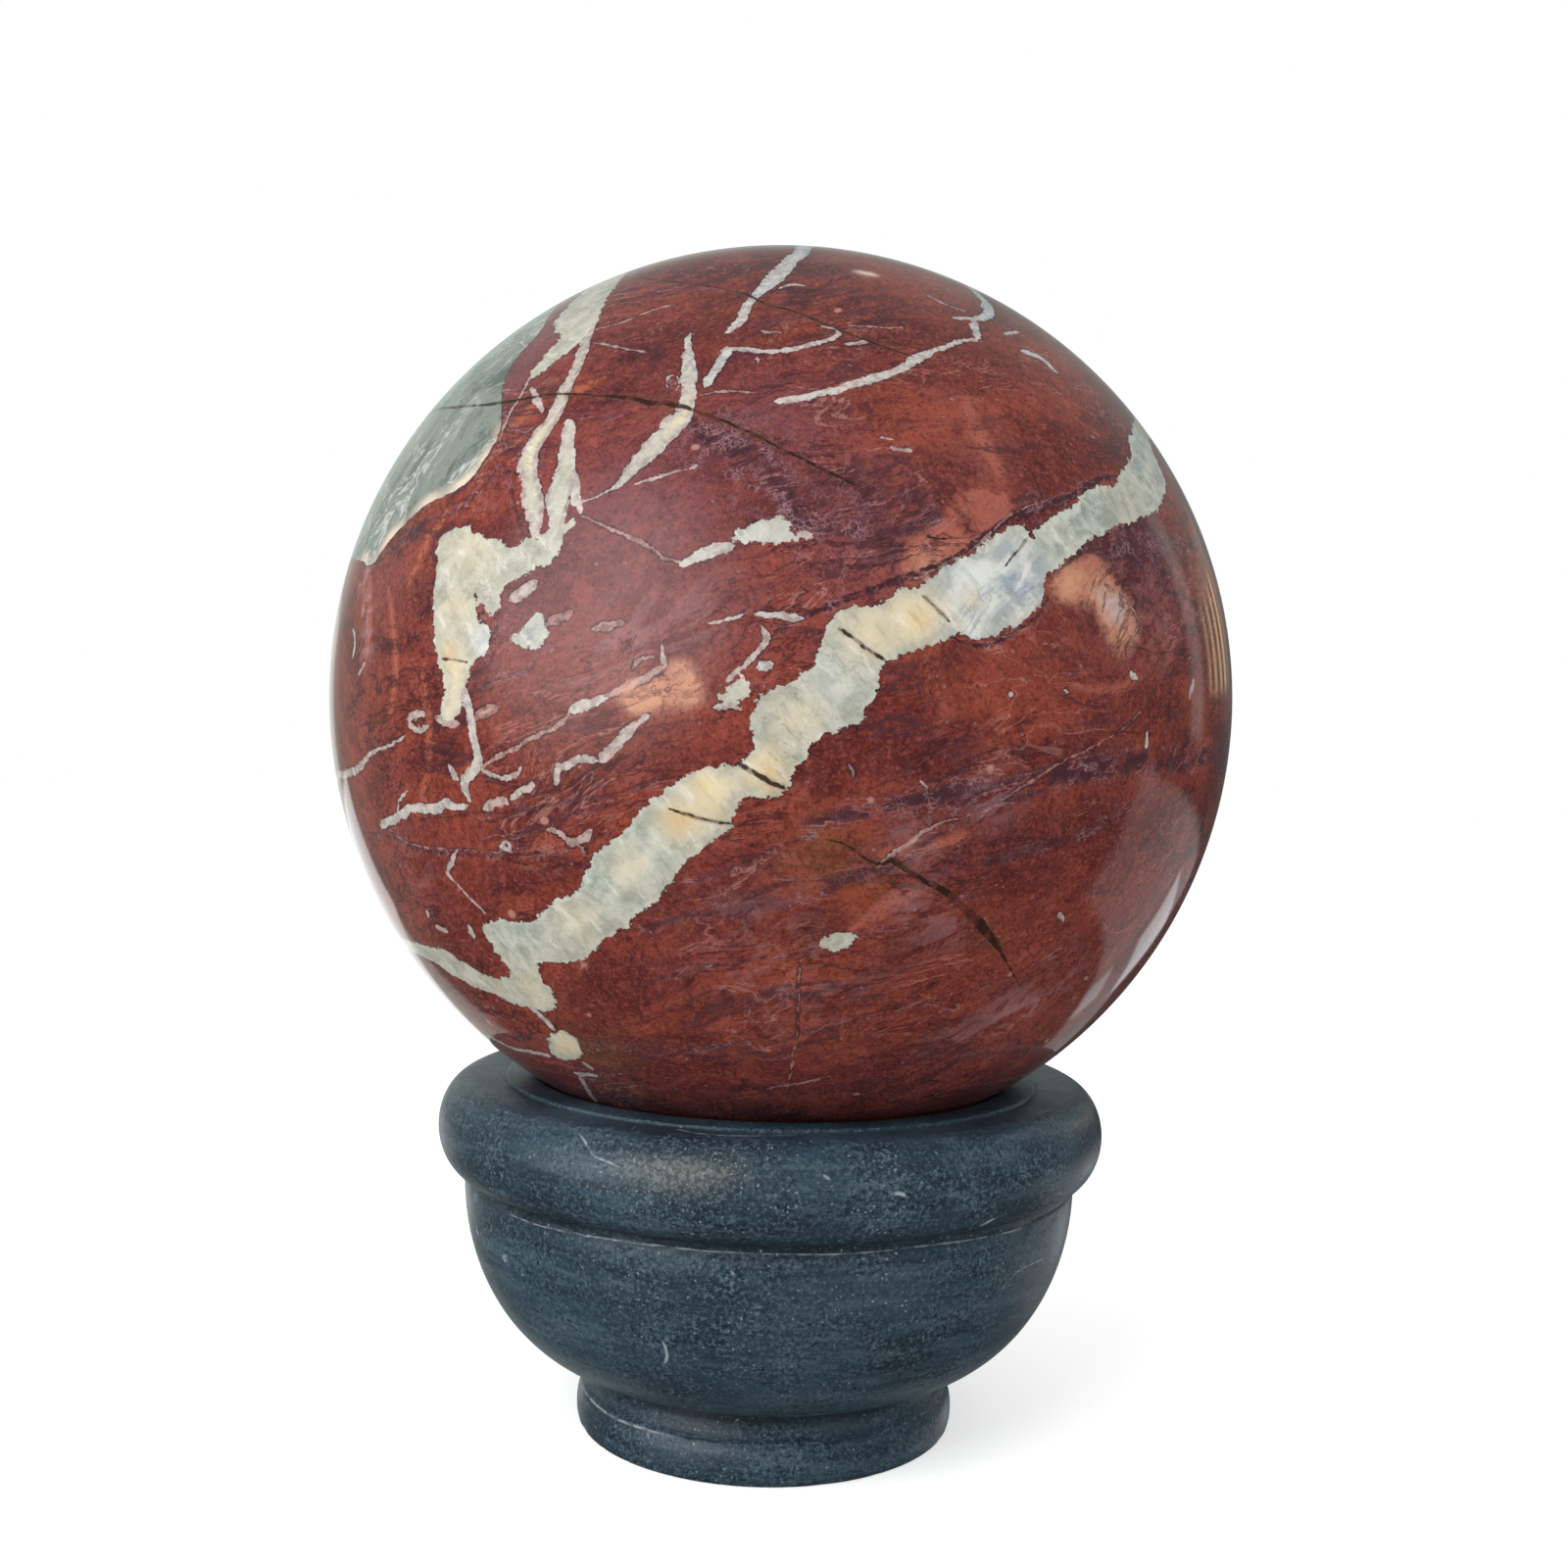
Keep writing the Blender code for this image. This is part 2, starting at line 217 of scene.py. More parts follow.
# Thin pale veins: tone from 0, white, to 1, pink; then x, y and half width in photo pixels
paleThreads = {
    "high band": (0.25, (
        (608, 326, 2), (600, 343, 5), (593, 362, 7), (585, 379, 7), (575, 402, 8), (565, 426, 10),
        (552, 442, 11), (541, 460, 11), (538, 479, 11), (540, 499, 11), (543, 515, 11), (548, 530, 9),
        (545, 546, 5))),
    "wedge strand": (0.5, ((541, 384, 2), (532, 402, 1.5), (522, 418, 2), (513, 440, 1))),
    "loop": (0.1, (
        (579, 432, 7), (581, 445, 8), (579, 469, 10), (574, 492, 13), (570, 512, 13), (569, 528, 11),
        (566, 545, 9), (558, 562, 6))),
    "loop strand": (0.1, ((586, 482, 4), (588, 498, 6), (589, 512, 6), (592, 522, 4))),
    "upper mid": (0.15, (
        (704, 339, 1), (703, 362, 5), (703, 382, 8), (703, 400, 8), (699, 420, 10), (690, 431, 13),
        (676, 444, 13), (662, 459, 11), (650, 473, 8), (638, 489, 6), (628, 498, 2), (612, 504, 1),
        (598, 512, 1), (592, 512, 0.8))),
    "upper mid branch": (0.4, ((648, 492, 1.5), (681, 484, 2), (711, 475, 1.5))),
    "top": (0.1, (
        (832, 236, 9), (823, 252, 8), (800, 273, 9), (785, 290, 9), (770, 303, 3), (762, 313, 5),
        (758, 326, 5), (743, 338, 5))),
    "top fleck": (0.3, ((796, 294, 2), (808, 290, 2.5), (820, 292, 1))),
    "top tail": (0.1, ((741, 356, 5), (733, 372, 5), (721, 392, 5))),
    "top hook": (0.2, (
        (744, 356, 3), (780, 358, 3), (800, 358, 3), (820, 354, 3), (840, 348, 3), (856, 343, 3),
        (855, 336, 2.5), (838, 333, 2))),
    "top hook tail": (0.4, ((863, 351, 2), (886, 349, 2))),
    "high streak": (0.1, (
        (795, 409, 5), (820, 407, 4), (850, 398, 5), (869, 392, 6), (876, 391, 5), (913, 378, 5),
        (929, 369, 5), (952, 359, 4), (969, 354, 3), (976, 348, 3), (996, 346, 3))),
    "right top": (0.1, (
        (985, 290, 4), (999, 301, 5), (1009, 313, 7), (1009, 323, 5), (992, 326, 4), (972, 324, 2))),
    "right top stem": (0.1, ((994, 328, 5), (997, 344, 4))),
    "right top bit": (0.2, ((1025, 341, 2), (1039, 339, 2))),
    "right top dash": (0.1, ((1044, 359, 4), (1062, 364, 4), (1077, 379, 3))),
    "dash a": (0.4, ((898, 446, 2), (911, 448, 2))),
    "dash b": (0.4, ((911, 457, 2.5), (929, 459, 2))),
    "dash c": (0.8, ((777, 338, 2.5), (797, 339, 2))),
    "hairline a": (0.8, ((608, 336, 1), (635, 329, 1.2), (665, 316, 1.2), (691, 310, 1))),
    "hairline b": (0.8, ((605, 349, 1), (632, 354, 1.2), (658, 359, 1))),
    "hairline c": (0.8, ((714, 404, 1), (741, 399, 1.5), (774, 399, 1))),
    "hairline d": (0.6, ((946, 301, 1.5), (966, 311, 1.5), (986, 318, 1.5))),
    "hairline e": (0.7, ((866, 333, 1), (923, 334, 1))),
    "hairline f": (0.8, (
        (592, 527, 1.5), (612, 535, 1.5), (632, 543, 1.5), (651, 552, 2), (668, 562, 1.5),
        (681, 570, 1.5), (695, 573, 1.2))),
    "mid left": (0.1, ((694, 576, 2.5), (712, 568, 6), (728, 561, 7), (744, 558, 6))),
    "mid right": (0.3, ((816, 545, 4), (826, 548, 4))),
    "islet wisp": (0.4, ((522, 611, 5), (534, 603, 7), (545, 595, 5))),
    "islet wisp b": (1.0, ((559, 635, 4), (582, 625, 4))),
    "pink dash": (0.8, ((605, 640, 3), (620, 638, 3.5), (638, 635, 2))),
    "white seam": (0.2, ((721, 636, 1.5), (741, 633, 2.5), (761, 625, 2))),
    "white seam b": (0.2, ((771, 626, 3), (797, 630, 4), (820, 631, 2))),
    "bird back": (0.2, ((781, 654, 2), (768, 671, 2), (754, 684, 2), (744, 694, 3))),
    "bird dash": (0.1, ((774, 681, 4), (787, 678, 4))),
    "bird foot": (0.1, ((745, 718, 2), (753, 725, 2))),
    "lower dash": (0.3, ((661, 730, 3), (648, 739, 4), (635, 753, 6), (615, 774, 6))),
    "lower dash b": (0.2, (
        (608, 776, 3), (592, 773, 3.5), (579, 781, 4), (569, 783, 3.5), (567, 799, 3.5))),
    "salmon edge": (0.1, ((584, 724, 5), (596, 719, 7), (610, 716, 5), (620, 711, 2))),
    "salmon edge c": (0.7, (
        (614, 713, 2), (630, 706, 3.5), (645, 699, 4), (660, 692, 3.5), (672, 685, 4), (679, 680, 2.5))),
    "salmon edge up": (0.4, ((679, 680, 2), (676, 669, 3), (675, 658, 1.5))),
    "salmon edge b": (0.7, ((646, 683, 2), (651, 674, 3), (659, 671, 2.5), (668, 671, 1))),
    "over the seam": (1.0, (
        (930, 593, 0.5), (950, 584, 0.9), (968, 573, 1), (985, 566, 0.7), (1001, 554, 1.1),
        (1013, 540, 1), (1029, 526, 1.1), (1046, 518, 0.8), (1072, 508, 0.4))),
    "leg": (0.15, (
        (472, 703, 5), (479, 726, 5), (481, 750, 5), (487, 763, 6), (489, 779, 6), (479, 790, 6),
        (472, 799, 5), (481, 819, 1))),
    "leg side": (0.2, ((459, 783, 4), (466, 793, 4))),
    "whorl": (0.5, (
        (682, 397, 0.8), (680, 389, 1.2), (684, 383, 1.4), (691, 384, 1.2), (694, 391, 1.2),
        (690, 399, 0.8))),
    "curl": (0.4, (
        (436, 742, 3), (428, 746, 3), (418, 742, 3), (416, 734, 3), (422, 728, 3), (433, 728, 3))),
    "curl tail": (0.6, ((446, 730, 4), (455, 737, 6), (466, 739, 5))),
    "pink knot": (1.0, ((486, 733, 4), (498, 726, 6), (508, 721, 3))),
    "arc": (0.3, ((491, 786, 2), (512, 794, 2.5), (529, 791, 2.5), (532, 783, 1.5))),
    "dotted seam": (0.7, (
        (491, 783, 1.5), (512, 769, 2), (532, 759, 1.5), (547, 750, 2), (559, 748, 1.5), (575, 736, 2),
        (582, 723, 1.5))),
    "zigzag": (0.1, (
        (389, 842, 4), (406, 836, 5), (419, 822, 5), (443, 829, 5), (456, 817, 5), (462, 824, 4),
        (476, 822, 2))),
    "zigzag up": (0.2, ((406, 829, 1.5), (406, 816, 1.5), (416, 807, 1.5))),
    "far left": (0.3, (
        (345, 791, 4), (360, 788, 4), (371, 779, 4), (378, 768, 2), (399, 761, 1.5), (414, 750, 1))),
    "grey dash": (0.5, ((496, 824, 5), (512, 816, 5), (517, 819, 4))),
    "grey dash b": (0.3, ((522, 814, 3), (544, 801, 3))),
    "light seam": (0.9, (
        (396, 846, 0.5), (416, 862, 0.9), (443, 866, 0.9), (472, 867, 0.7), (499, 869, 0.6),
        (529, 869, 0.4))),
    "fossil": (0.2, (
        (519, 859, 1.5), (512, 859, 2), (510, 865, 2), (515, 869, 2), (521, 866, 2), (520, 860, 1.5))),
    "crooked": (0.3, (
        (467, 867, 1.5), (462, 879, 2.5), (454, 889, 2.5), (466, 902, 1.5), (479, 915, 1.5),
        (496, 932, 1.2))),
    "speck a": (0.2, ((436, 930, 3), (437, 935, 2))),
    "speck b": (0.2, ((446, 946, 4), (455, 950, 4))),
    "speck c": (0.2, ((480, 947, 4), (483, 955, 4))),
    "link": (0.15, ((539, 1026, 4), (552, 1036, 4), (565, 1050, 4))),
    "tail": (0.2, ((560, 1077, 4), (545, 1074, 3), (525, 1071, 3), (506, 1061, 3), (496, 1056, 2))),
    "tail bit": (0.2, ((595, 1084, 3), (603, 1091, 3))),
    "tail bit b": (0.2, ((588, 1096, 3), (610, 1098, 3))),
    "tail bit c": (0.2, ((592, 1098, 2), (598, 1111, 3), (608, 1124, 3))),
    "left bits": (0.2, ((360, 640, 1.5), (363, 655, 2.5), (360, 672, 2))),
    "left bits b": (0.4, ((372, 676, 2), (366, 688, 3))),
    "dot a": (0.1, ((1155, 688, 4), (1159, 692, 4))),
    "dot b": (0.3, ((1030, 710, 3), (1033, 711, 2))),
    "dot c": (0.3, ((1087, 704, 3), (1090, 705, 2))),
    "dot d": (0.3, ((941, 797, 3), (944, 801, 3))),
    "dot e": (0.3, ((1081, 932, 3), (1084, 939, 3))),
    "dot f": (0.1, ((1171, 748, 2), (1170, 762, 3))),
    "dot g": (0.5, ((774, 365, 2.5), (775, 368, 2.5))),
    "right dash": (0.3, ((1218, 694, 3), (1214, 711, 3))),
    "squiggle": (0.5, ((866, 779, 1.5), (871, 788, 1.5), (869, 796, 1.5))),
    "light line": (0.7, (
        (894, 889, 1), (906, 876, 2.4), (920, 864, 2.2), (934, 857, 2.6), (946, 846, 1.8), (962, 840, 0.8))),
    "light line end": (1.0, (
        (962, 840, 0.5), (979, 834, 0.4), (1005, 829, 0.8), (1029, 812, 0.5), (1055, 796, 1.2),
        (1070, 786, 0.6), (1112, 763, 0.8), (1145, 746, 0.5), (1165, 726, 0.3))),
    "plumb line": (1.0, ((816, 982, 0.4), (813, 1065, 0.6), (803, 1114, 0.4))),
    "lower islet": (0.5, (
        (557, 848, 1.5), (566, 846, 3), (574, 853, 3), (583, 860, 3.5), (594, 856, 5), (602, 849, 4))),
    "lower islet stem": (0.6, ((590, 862, 2.5), (596, 868, 1.5))),
    "wedge bit": (0.2, ((542, 396, 2), (546, 401, 3.5), (549, 409, 4), (552, 421, 2))),
    "white curl": (0.0, ((666, 452, 1.5), (664, 459, 2), (667, 464, 2), (664, 470, 1))),
    "bird wing": (0.3, ((776, 640, 2), (783, 652, 3), (776, 660, 3))),
    "bird tail": (0.2, ((748, 712, 5), (741, 722, 4), (730, 722, 3))),
    "lilac lines": (0.7, ((1128, 596, 0.8), (1148, 612, 1), (1164, 632, 1.5), (1158, 648, 1))),
    "foot streak": (0.9, ((780, 1111, 1), (812, 1106, 1.8), (846, 1098, 1))),
}

# Brown cracks, filled with rust
brownCracks = {
    "upper": (
        (440, 420, 0.8), (453, 416, 1.5), (512, 412, 2), (549, 404, 1.5), (575, 401, 1.2),
        (615, 404, 1.2), (645, 406, 2.5), (665, 412, 3), (688, 412, 3.5), (708, 419, 2), (738, 429, 1.5),
        (764, 441, 2), (820, 469, 2), (846, 482, 2), (873, 495, 1.5)),
    "top": (
        (638, 283, 0.8), (714, 290, 1.2), (764, 300, 1.2), (780, 311, 1.5), (813, 318, 1.5),
        (846, 333, 1.2), (880, 346, 1.2), (913, 358, 1.2), (929, 363, 0.8)),
    "lower right": (
        (843, 856, 0.8), (866, 862, 1.2), (886, 879, 1.2), (898, 884, 1), (911, 876, 3), (922, 885, 3.5),
        (934, 894, 2), (948, 902, 3.5), (966, 910, 4), (980, 924, 4.5), (996, 937, 5), (1005, 950, 5),
        (1018, 964, 3.5), (1025, 978, 0.8), (1042, 1008, 0.5)),
    "across the right lobe": ((942, 608, 1), (956, 621, 1.5), (969, 635, 1.2)),
    "across the top": ((856, 641, 1.5), (880, 658, 2), (903, 674, 1.5)),
    "across the waist": ((752, 778, 2), (775, 792, 2.5), (801, 805, 1.5)),
    "across the belly": ((681, 824, 1), (715, 836, 1.5), (748, 841, 1)),
    "across the hook": ((450, 672, 0.8), (465, 674, 1.4), (478, 676, 0.8)),
    "loop slit": ((581, 507, 1.5), (576, 522, 1.5)),
    "over the salmon": ((944, 546, 0.3), (953, 550, 0.5), (963, 551, 0.6), (972, 548, 0.3)),
    "lobe slit": ((1047, 550, 1.8), (1040, 560, 1.4), (1033, 568, 1.0), (1026, 577, 0.7)),
}

# Dark purple seams: 0 for a soft band of strands to 1 for a crisp line
purpleSeams = {
    "over the great vein": (1.0, (
        (790, 646, 1), (806, 636, 2), (823, 628, 3), (846, 617, 3), (880, 605, 3), (913, 592, 4),
        (939, 585, 3), (966, 574, 3), (987, 562, 4), (1009, 544, 4.5), (1026, 531, 5), (1049, 521, 6),
        (1064, 517, 5), (1082, 513, 4), (1095, 505, 4), (1106, 497, 3.5), (1125, 489, 3), (1139, 485, 1.5))),
    "under the lobe": (0.3, (
        (1095, 562, 3), (1115, 556, 7), (1130, 556, 11), (1155, 558, 14), (1180, 558, 12), (1211, 556, 9),
        (1250, 552, 7))),
    "lobe margin": (1.0, (
        (972, 651, 1), (990, 657, 2), (1009, 658, 2.5), (1028, 649, 2.5), (1047, 639, 2),
        (1062, 624, 1.5), (1069, 610, 1))),
    "upper arm margin": (0.8, (
        (1072, 584, 2), (1092, 572, 2.5), (1106, 562, 3), (1128, 546, 3), (1156, 536, 2))),
    "fleck band": (0.2, (
        (700, 420, 4), (708, 436, 8), (725, 447, 11), (745, 452, 12), (762, 462, 14), (780, 480, 14),
        (800, 495, 13), (806, 514, 9), (815, 530, 8), (828, 541, 8), (846, 541, 8), (880, 541, 8),
        (909, 543, 8), (939, 540, 6), (958, 526, 4))),
    "fleck band line": (0.9, (
        (704, 424, 1), (718, 440, 1.6), (734, 448, 2.6), (752, 452, 2), (768, 466, 2.8), (786, 476, 2),
        (796, 492, 2.6), (803, 512, 2), (812, 528, 2.6), (826, 538, 2), (850, 538, 2.6), (885, 543, 3),
        (912, 541, 2.2), (936, 534, 2.4), (950, 520, 1.6), (960, 500, 1))),
    "down from the band": (0.8, ((909, 548, 1.2), (912, 566, 1.6), (908, 588, 1.2))),
    "main lower": (0.0, (
        (820, 842, 4), (856, 832, 9), (913, 822, 12), (939, 816, 13), (986, 812, 17), (1019, 812, 16),
        (1045, 803, 13), (1078, 792, 13), (1112, 784, 14), (1151, 778, 13), (1188, 776, 12),
        (1244, 770, 10), (1290, 765, 8))),
    "main lower line": (0.8, (
        (850, 840, 0.8), (900, 826, 1.6), (950, 824, 1.2), (1000, 822, 2), (1040, 806, 1.2),
        (1090, 793, 1.6), (1150, 786, 1.2), (1200, 780, 1.4), (1240, 772, 1))),
    "second lower": (0.1, ((890, 900, 3), (925, 876, 5), (955, 850, 8), (985, 838, 6), (1020, 826, 3))),
    "third band": (0.2, (
        (996, 882, 3), (1029, 875, 5), (1068, 862, 5), (1112, 849, 5), (1151, 826, 5), (1180, 806, 4))),
    "fourth band": (0.1, ((740, 935, 3), (790, 918, 8), (840, 905, 10), (880, 893, 8), (905, 885, 5))),
    "fourth line": (0.8, (
        (700, 938, 0.8), (760, 926, 1.4), (820, 902, 1.2), (860, 893, 1.6), (900, 886, 0.8))),
    "through the belly": (0.5, (
        (430, 836, 1), (499, 829, 2), (545, 826, 2), (575, 819, 2), (612, 812, 2), (651, 803, 2),
        (685, 793, 1.5))),
    "under the belly": (0.5, (
        (512, 866, 1.5), (532, 849, 2), (552, 838, 2), (598, 828, 2), (632, 819, 1.5))),
    "bottom": (0.3, ((648, 948, 2), (698, 935, 4), (731, 932, 4), (781, 909, 4), (820, 895, 2))),
    "green edge": (0.9, (
        (513, 384, 1), (511, 408, 1.8), (512, 436, 1.6), (500, 464, 1.4), (486, 482, 0.8))),
    "between the loops": (0.9, ((557, 436, 1), (552, 455, 1.6), (549, 476, 1.2), (550, 494, 0.6))),
    "right of the loops": (0.4, ((586, 418, 1), (600, 428, 3), (616, 430, 3), (632, 422, 1))),
    "left seam": (0.8, (
        (360, 850, 1), (396, 850, 1.6), (416, 865, 1.8), (443, 870, 1.6), (472, 872, 1.4),
        (499, 873, 1.6), (540, 872, 1), (580, 862, 0.8))),
    "beside the leg": (0.6, ((492, 700, 1.5), (512, 692, 2), (545, 680, 1.5))),
    "under the green": (0.5, (
        (366, 582, 2), (388, 572, 3), (410, 552, 4), (440, 530, 3), (470, 520, 3), (500, 490, 2),
        (516, 470, 1.5))),
    "beside the hook": (0.8, ((494, 645, 2), (500, 660, 3), (492, 676, 2), (505, 640, 1.5), (514, 632, 1))),
    "left of the loop": (0.7, ((519, 478, 1), (523, 505, 1.8), (528, 530, 1.4), (534, 545, 0.8))),
    "right belly": (0.6, ((700, 900, 0.8), (740, 890, 1.4), (790, 866, 1.2), (830, 850, 0.8))),
    "long low": (0.5, ((640, 1010, 0.8), (720, 985, 1.4), (800, 975, 1), (880, 955, 1.2), (960, 930, 0.8))),
    "long low b": (0.5, ((700, 1075, 0.8), (780, 1058, 1.2), (860, 1046, 1), (960, 1020, 0.8))),
    "top left": (0.5, ((600, 305, 0.8), (660, 285, 1.2), (720, 296, 1), (780, 300, 0.8))),
}

# Soft areas of colour: x, y, radius in photo pixels, and strength
softAreas = {
    "mauve": (
        (560, 338, 36, 1.5), (575, 312, 26, 1.4), (548, 362, 32, 1.5), (525, 388, 26, 1.4),
        (650, 520, 95, 0.9), (700, 470, 60, 0.7), (545, 610, 70, 0.5), (780, 440, 70, 0.7),
        (850, 500, 60, 0.6), (870, 560, 60, 0.6), (720, 600, 70, 0.5), (1140, 620, 50, 0.5),
        (1190, 600, 50, 0.7), (400, 600, 30, 0.3), (640, 620, 70, 0.7)),
    # the rounds at x 600 to 692, y 690 to 700 lie on the bright patch and carry part of its painted
    # highlight
    "salmon": (
        (600, 690, 26, 0.5), (630, 690, 26, 0.6), (665, 700, 26, 0.9), (692, 700, 20, 0.9),
        (630, 665, 40, 0.4), (990, 440, 40, 0.5), (940, 560, 30, 0.3), (620, 655, 40, 0.3),
        (430, 575, 30, 0.4), (529, 432, 26, 0.7), (500, 680, 40, 0.2), (1010, 480, 26, 0.5)),
    "dark": (
        (1155, 560, 36, 0.8), (980, 815, 60, 0.5), (1130, 790, 60, 0.5), (735, 450, 40, 0.6),
        (790, 490, 40, 0.6), (1050, 520, 20, 0.6), (700, 900, 90, 0.35), (520, 300, 30, 0.4),
        (430, 850, 50, 0.3), (840, 300, 80, 0.2), (560, 800, 60, 0.3)),
    "orange": (
        (547, 856, 22, 0.9), (830, 880, 44, 0.8), (890, 930, 50, 0.7), (940, 875, 30, 0.6),
        (830, 1000, 80, 0.4), (560, 1000, 60, 0.3), (500, 900, 70, 0.4), (560, 770, 60, 0.4),
        (760, 340, 70, 0.3), (900, 420, 60, 0.3), (800, 590, 60, 0.4), (450, 780, 60, 0.4),
        (1000, 700, 80, 0.4), (640, 860, 60, 0.5), (880, 450, 40, 0.3)),
    "olive": (
        (836, 872, 30, 0.8), (870, 885, 26, 0.6), (612, 1075, 34, 0.8), (900, 890, 20, 0.5),
        (625, 1105, 26, 0.6), (1010, 955, 20, 0.5), (690, 412, 24, 0.4)),
    "fleck": (
        (735, 450, 36, 1.0), (775, 480, 36, 1.0), (810, 530, 26, 1.0), (870, 540, 24, 0.6),
        (880, 512, 20, 0.5), (1155, 560, 40, 0.8), (683, 392, 14, 1.2), (1060, 520, 20, 0.4),
        (500, 640, 60, 0.3), (520, 480, 40, 0.4), (960, 828, 40, 0.5), (500, 655, 22, 0.8)),
    "cream": (
        (465, 620, 22, 0.35), (462, 700, 30, 0.8), (548, 450, 34, 0.6), (725, 806, 24, 1.0),
        (775, 780, 22, 0.8), (815, 735, 26, 0.4), (700, 832, 22, 0.8), (640, 885, 20, 0.35),
        (585, 940, 24, 0.35), (555, 1010, 30, 0.45), (575, 1065, 24, 0.8), (935, 632, 28, 1.0),
        (890, 645, 24, 0.7), (992, 612, 11, 0.9), (975, 635, 11, 0.8), (700, 425, 24, 0.6),
        (480, 560, 30, 0.3), (372, 574, 16, 0.8), (398, 556, 22, 1.2), (436, 522, 20, 1.2),
        (474, 496, 20, 1.2), (500, 468, 16, 1.0), (512, 440, 12, 0.6), (1138, 619, 13, 1.3),
        (1128, 608, 10, 0.8)),
    "ochre": (
        (780, 790, 16, 0.9), (728, 812, 16, 0.7), (690, 838, 14, 0.6), (942, 634, 10, 0.9),
        (700, 412, 14, 0.6), (462, 672, 14, 0.7), (553, 404, 12, 0.6), (585, 925, 12, 0.5)),
    "blue": (
        (1000, 600, 38, 1.1), (1035, 590, 34, 1.1), (985, 635, 24, 1.0), (1165, 450, 22, 0.3),
        (820, 256, 44, 0.8), (785, 296, 30, 0.6), (1005, 318, 44, 0.9), (735, 370, 26, 0.5),
        (1056, 362, 26, 0.5), (850, 700, 22, 0.3), (493, 655, 14, 0.8), (770, 545, 26, 0.4),
        (545, 650, 18, 0.4)),
    "grey": (
        (620, 900, 40, 1.0), (660, 870, 34, 0.9), (580, 930, 34, 1.0), (530, 960, 34, 1.0),
        (690, 800, 20, 0.5), (850, 700, 34, 0.7), (800, 770, 26, 0.5), (880, 700, 26, 0.5),
        (1110, 525, 44, 1.1), (1165, 470, 50, 1.2), (1180, 420, 50, 1.2), (1066, 560, 30, 0.8),
        (430, 970, 60, 0.4), (610, 300, 26, 0.3)),
    # the two strongest rounds lie on the bright patch: the stone's peach with a painted highlight on top
    "peach": (
        (1094, 596, 24, 1.0), (1120, 604, 26, 1.1), (1148, 650, 24, 1.3), (1135, 625, 24, 1.3),
        (655, 706, 26, 1.8), (692, 700, 26, 2.0), (950, 575, 26, 0.35)),
    "haze": (
        (1030, 1036, 34, 0.7), (985, 1058, 28, 0.5), (1056, 1024, 22, 0.6), (940, 930, 34, 0.45),
        (965, 950, 24, 0.4), (926, 862, 26, 0.4), (1015, 820, 26, 0.4), (371, 590, 15, 0.9),
        (373, 622, 17, 1.1), (374, 655, 15, 0.9), (1175, 650, 30, 0.4), (1080, 1000, 30, 0.5),
        (640, 655, 34, 0.5), (600, 690, 34, 0.4), (690, 640, 60, 0.3), (420, 880, 30, 0.3),
        (760, 960, 60, 0.3), (830, 1010, 50, 0.25)),
}

# Soft streaks of orange, 0, to salmon, 1
softStreaks = {
    "left": (0.1, (
        (459, 520, 2), (451, 533, 5), (440, 545, 5), (431, 562, 4), (421, 583, 5), (415, 597, 2))),
    "beside the band": (0.2, ((514, 440, 3), (524, 432, 6), (540, 420, 7), (554, 408, 5), (560, 396, 2))),
    "through the band": (0.0, ((580, 402, 2), (592, 396, 5), (606, 390, 4), (618, 384, 2))),
    "upper right": (1.0, ((985, 404, 2), (993, 429, 7), (1003, 452, 9), (1016, 472, 9), (1022, 486, 4))),
    "far right": (0.9, ((1095, 700, 1), (1120, 706, 3), (1148, 700, 4), (1166, 690, 2))),
    "right edge": (1.0, (
        (1217, 548, 1), (1215, 575, 2), (1214, 602, 2.5), (1208, 630, 2.5), (1200, 655, 3),
        (1190, 682, 1.5))),
    "left edge": (1.0, ((374, 568, 2), (376, 592, 5), (377, 622, 6), (376, 652, 6), (372, 684, 2))),
    "left edge b": (0.5, ((396, 600, 2), (402, 640, 4), (404, 690, 5), (398, 730, 2))),
    "low": (0.7, ((900, 872, 3), (935, 866, 8), (960, 862, 8), (985, 852, 4))),
    "low b": (0.8, ((868, 948, 3), (900, 926, 9), (925, 912, 9), (950, 905, 4))),
    "left low": (0.4, ((430, 690, 3), (440, 740, 5), (436, 790, 5), (428, 830, 3))),
}

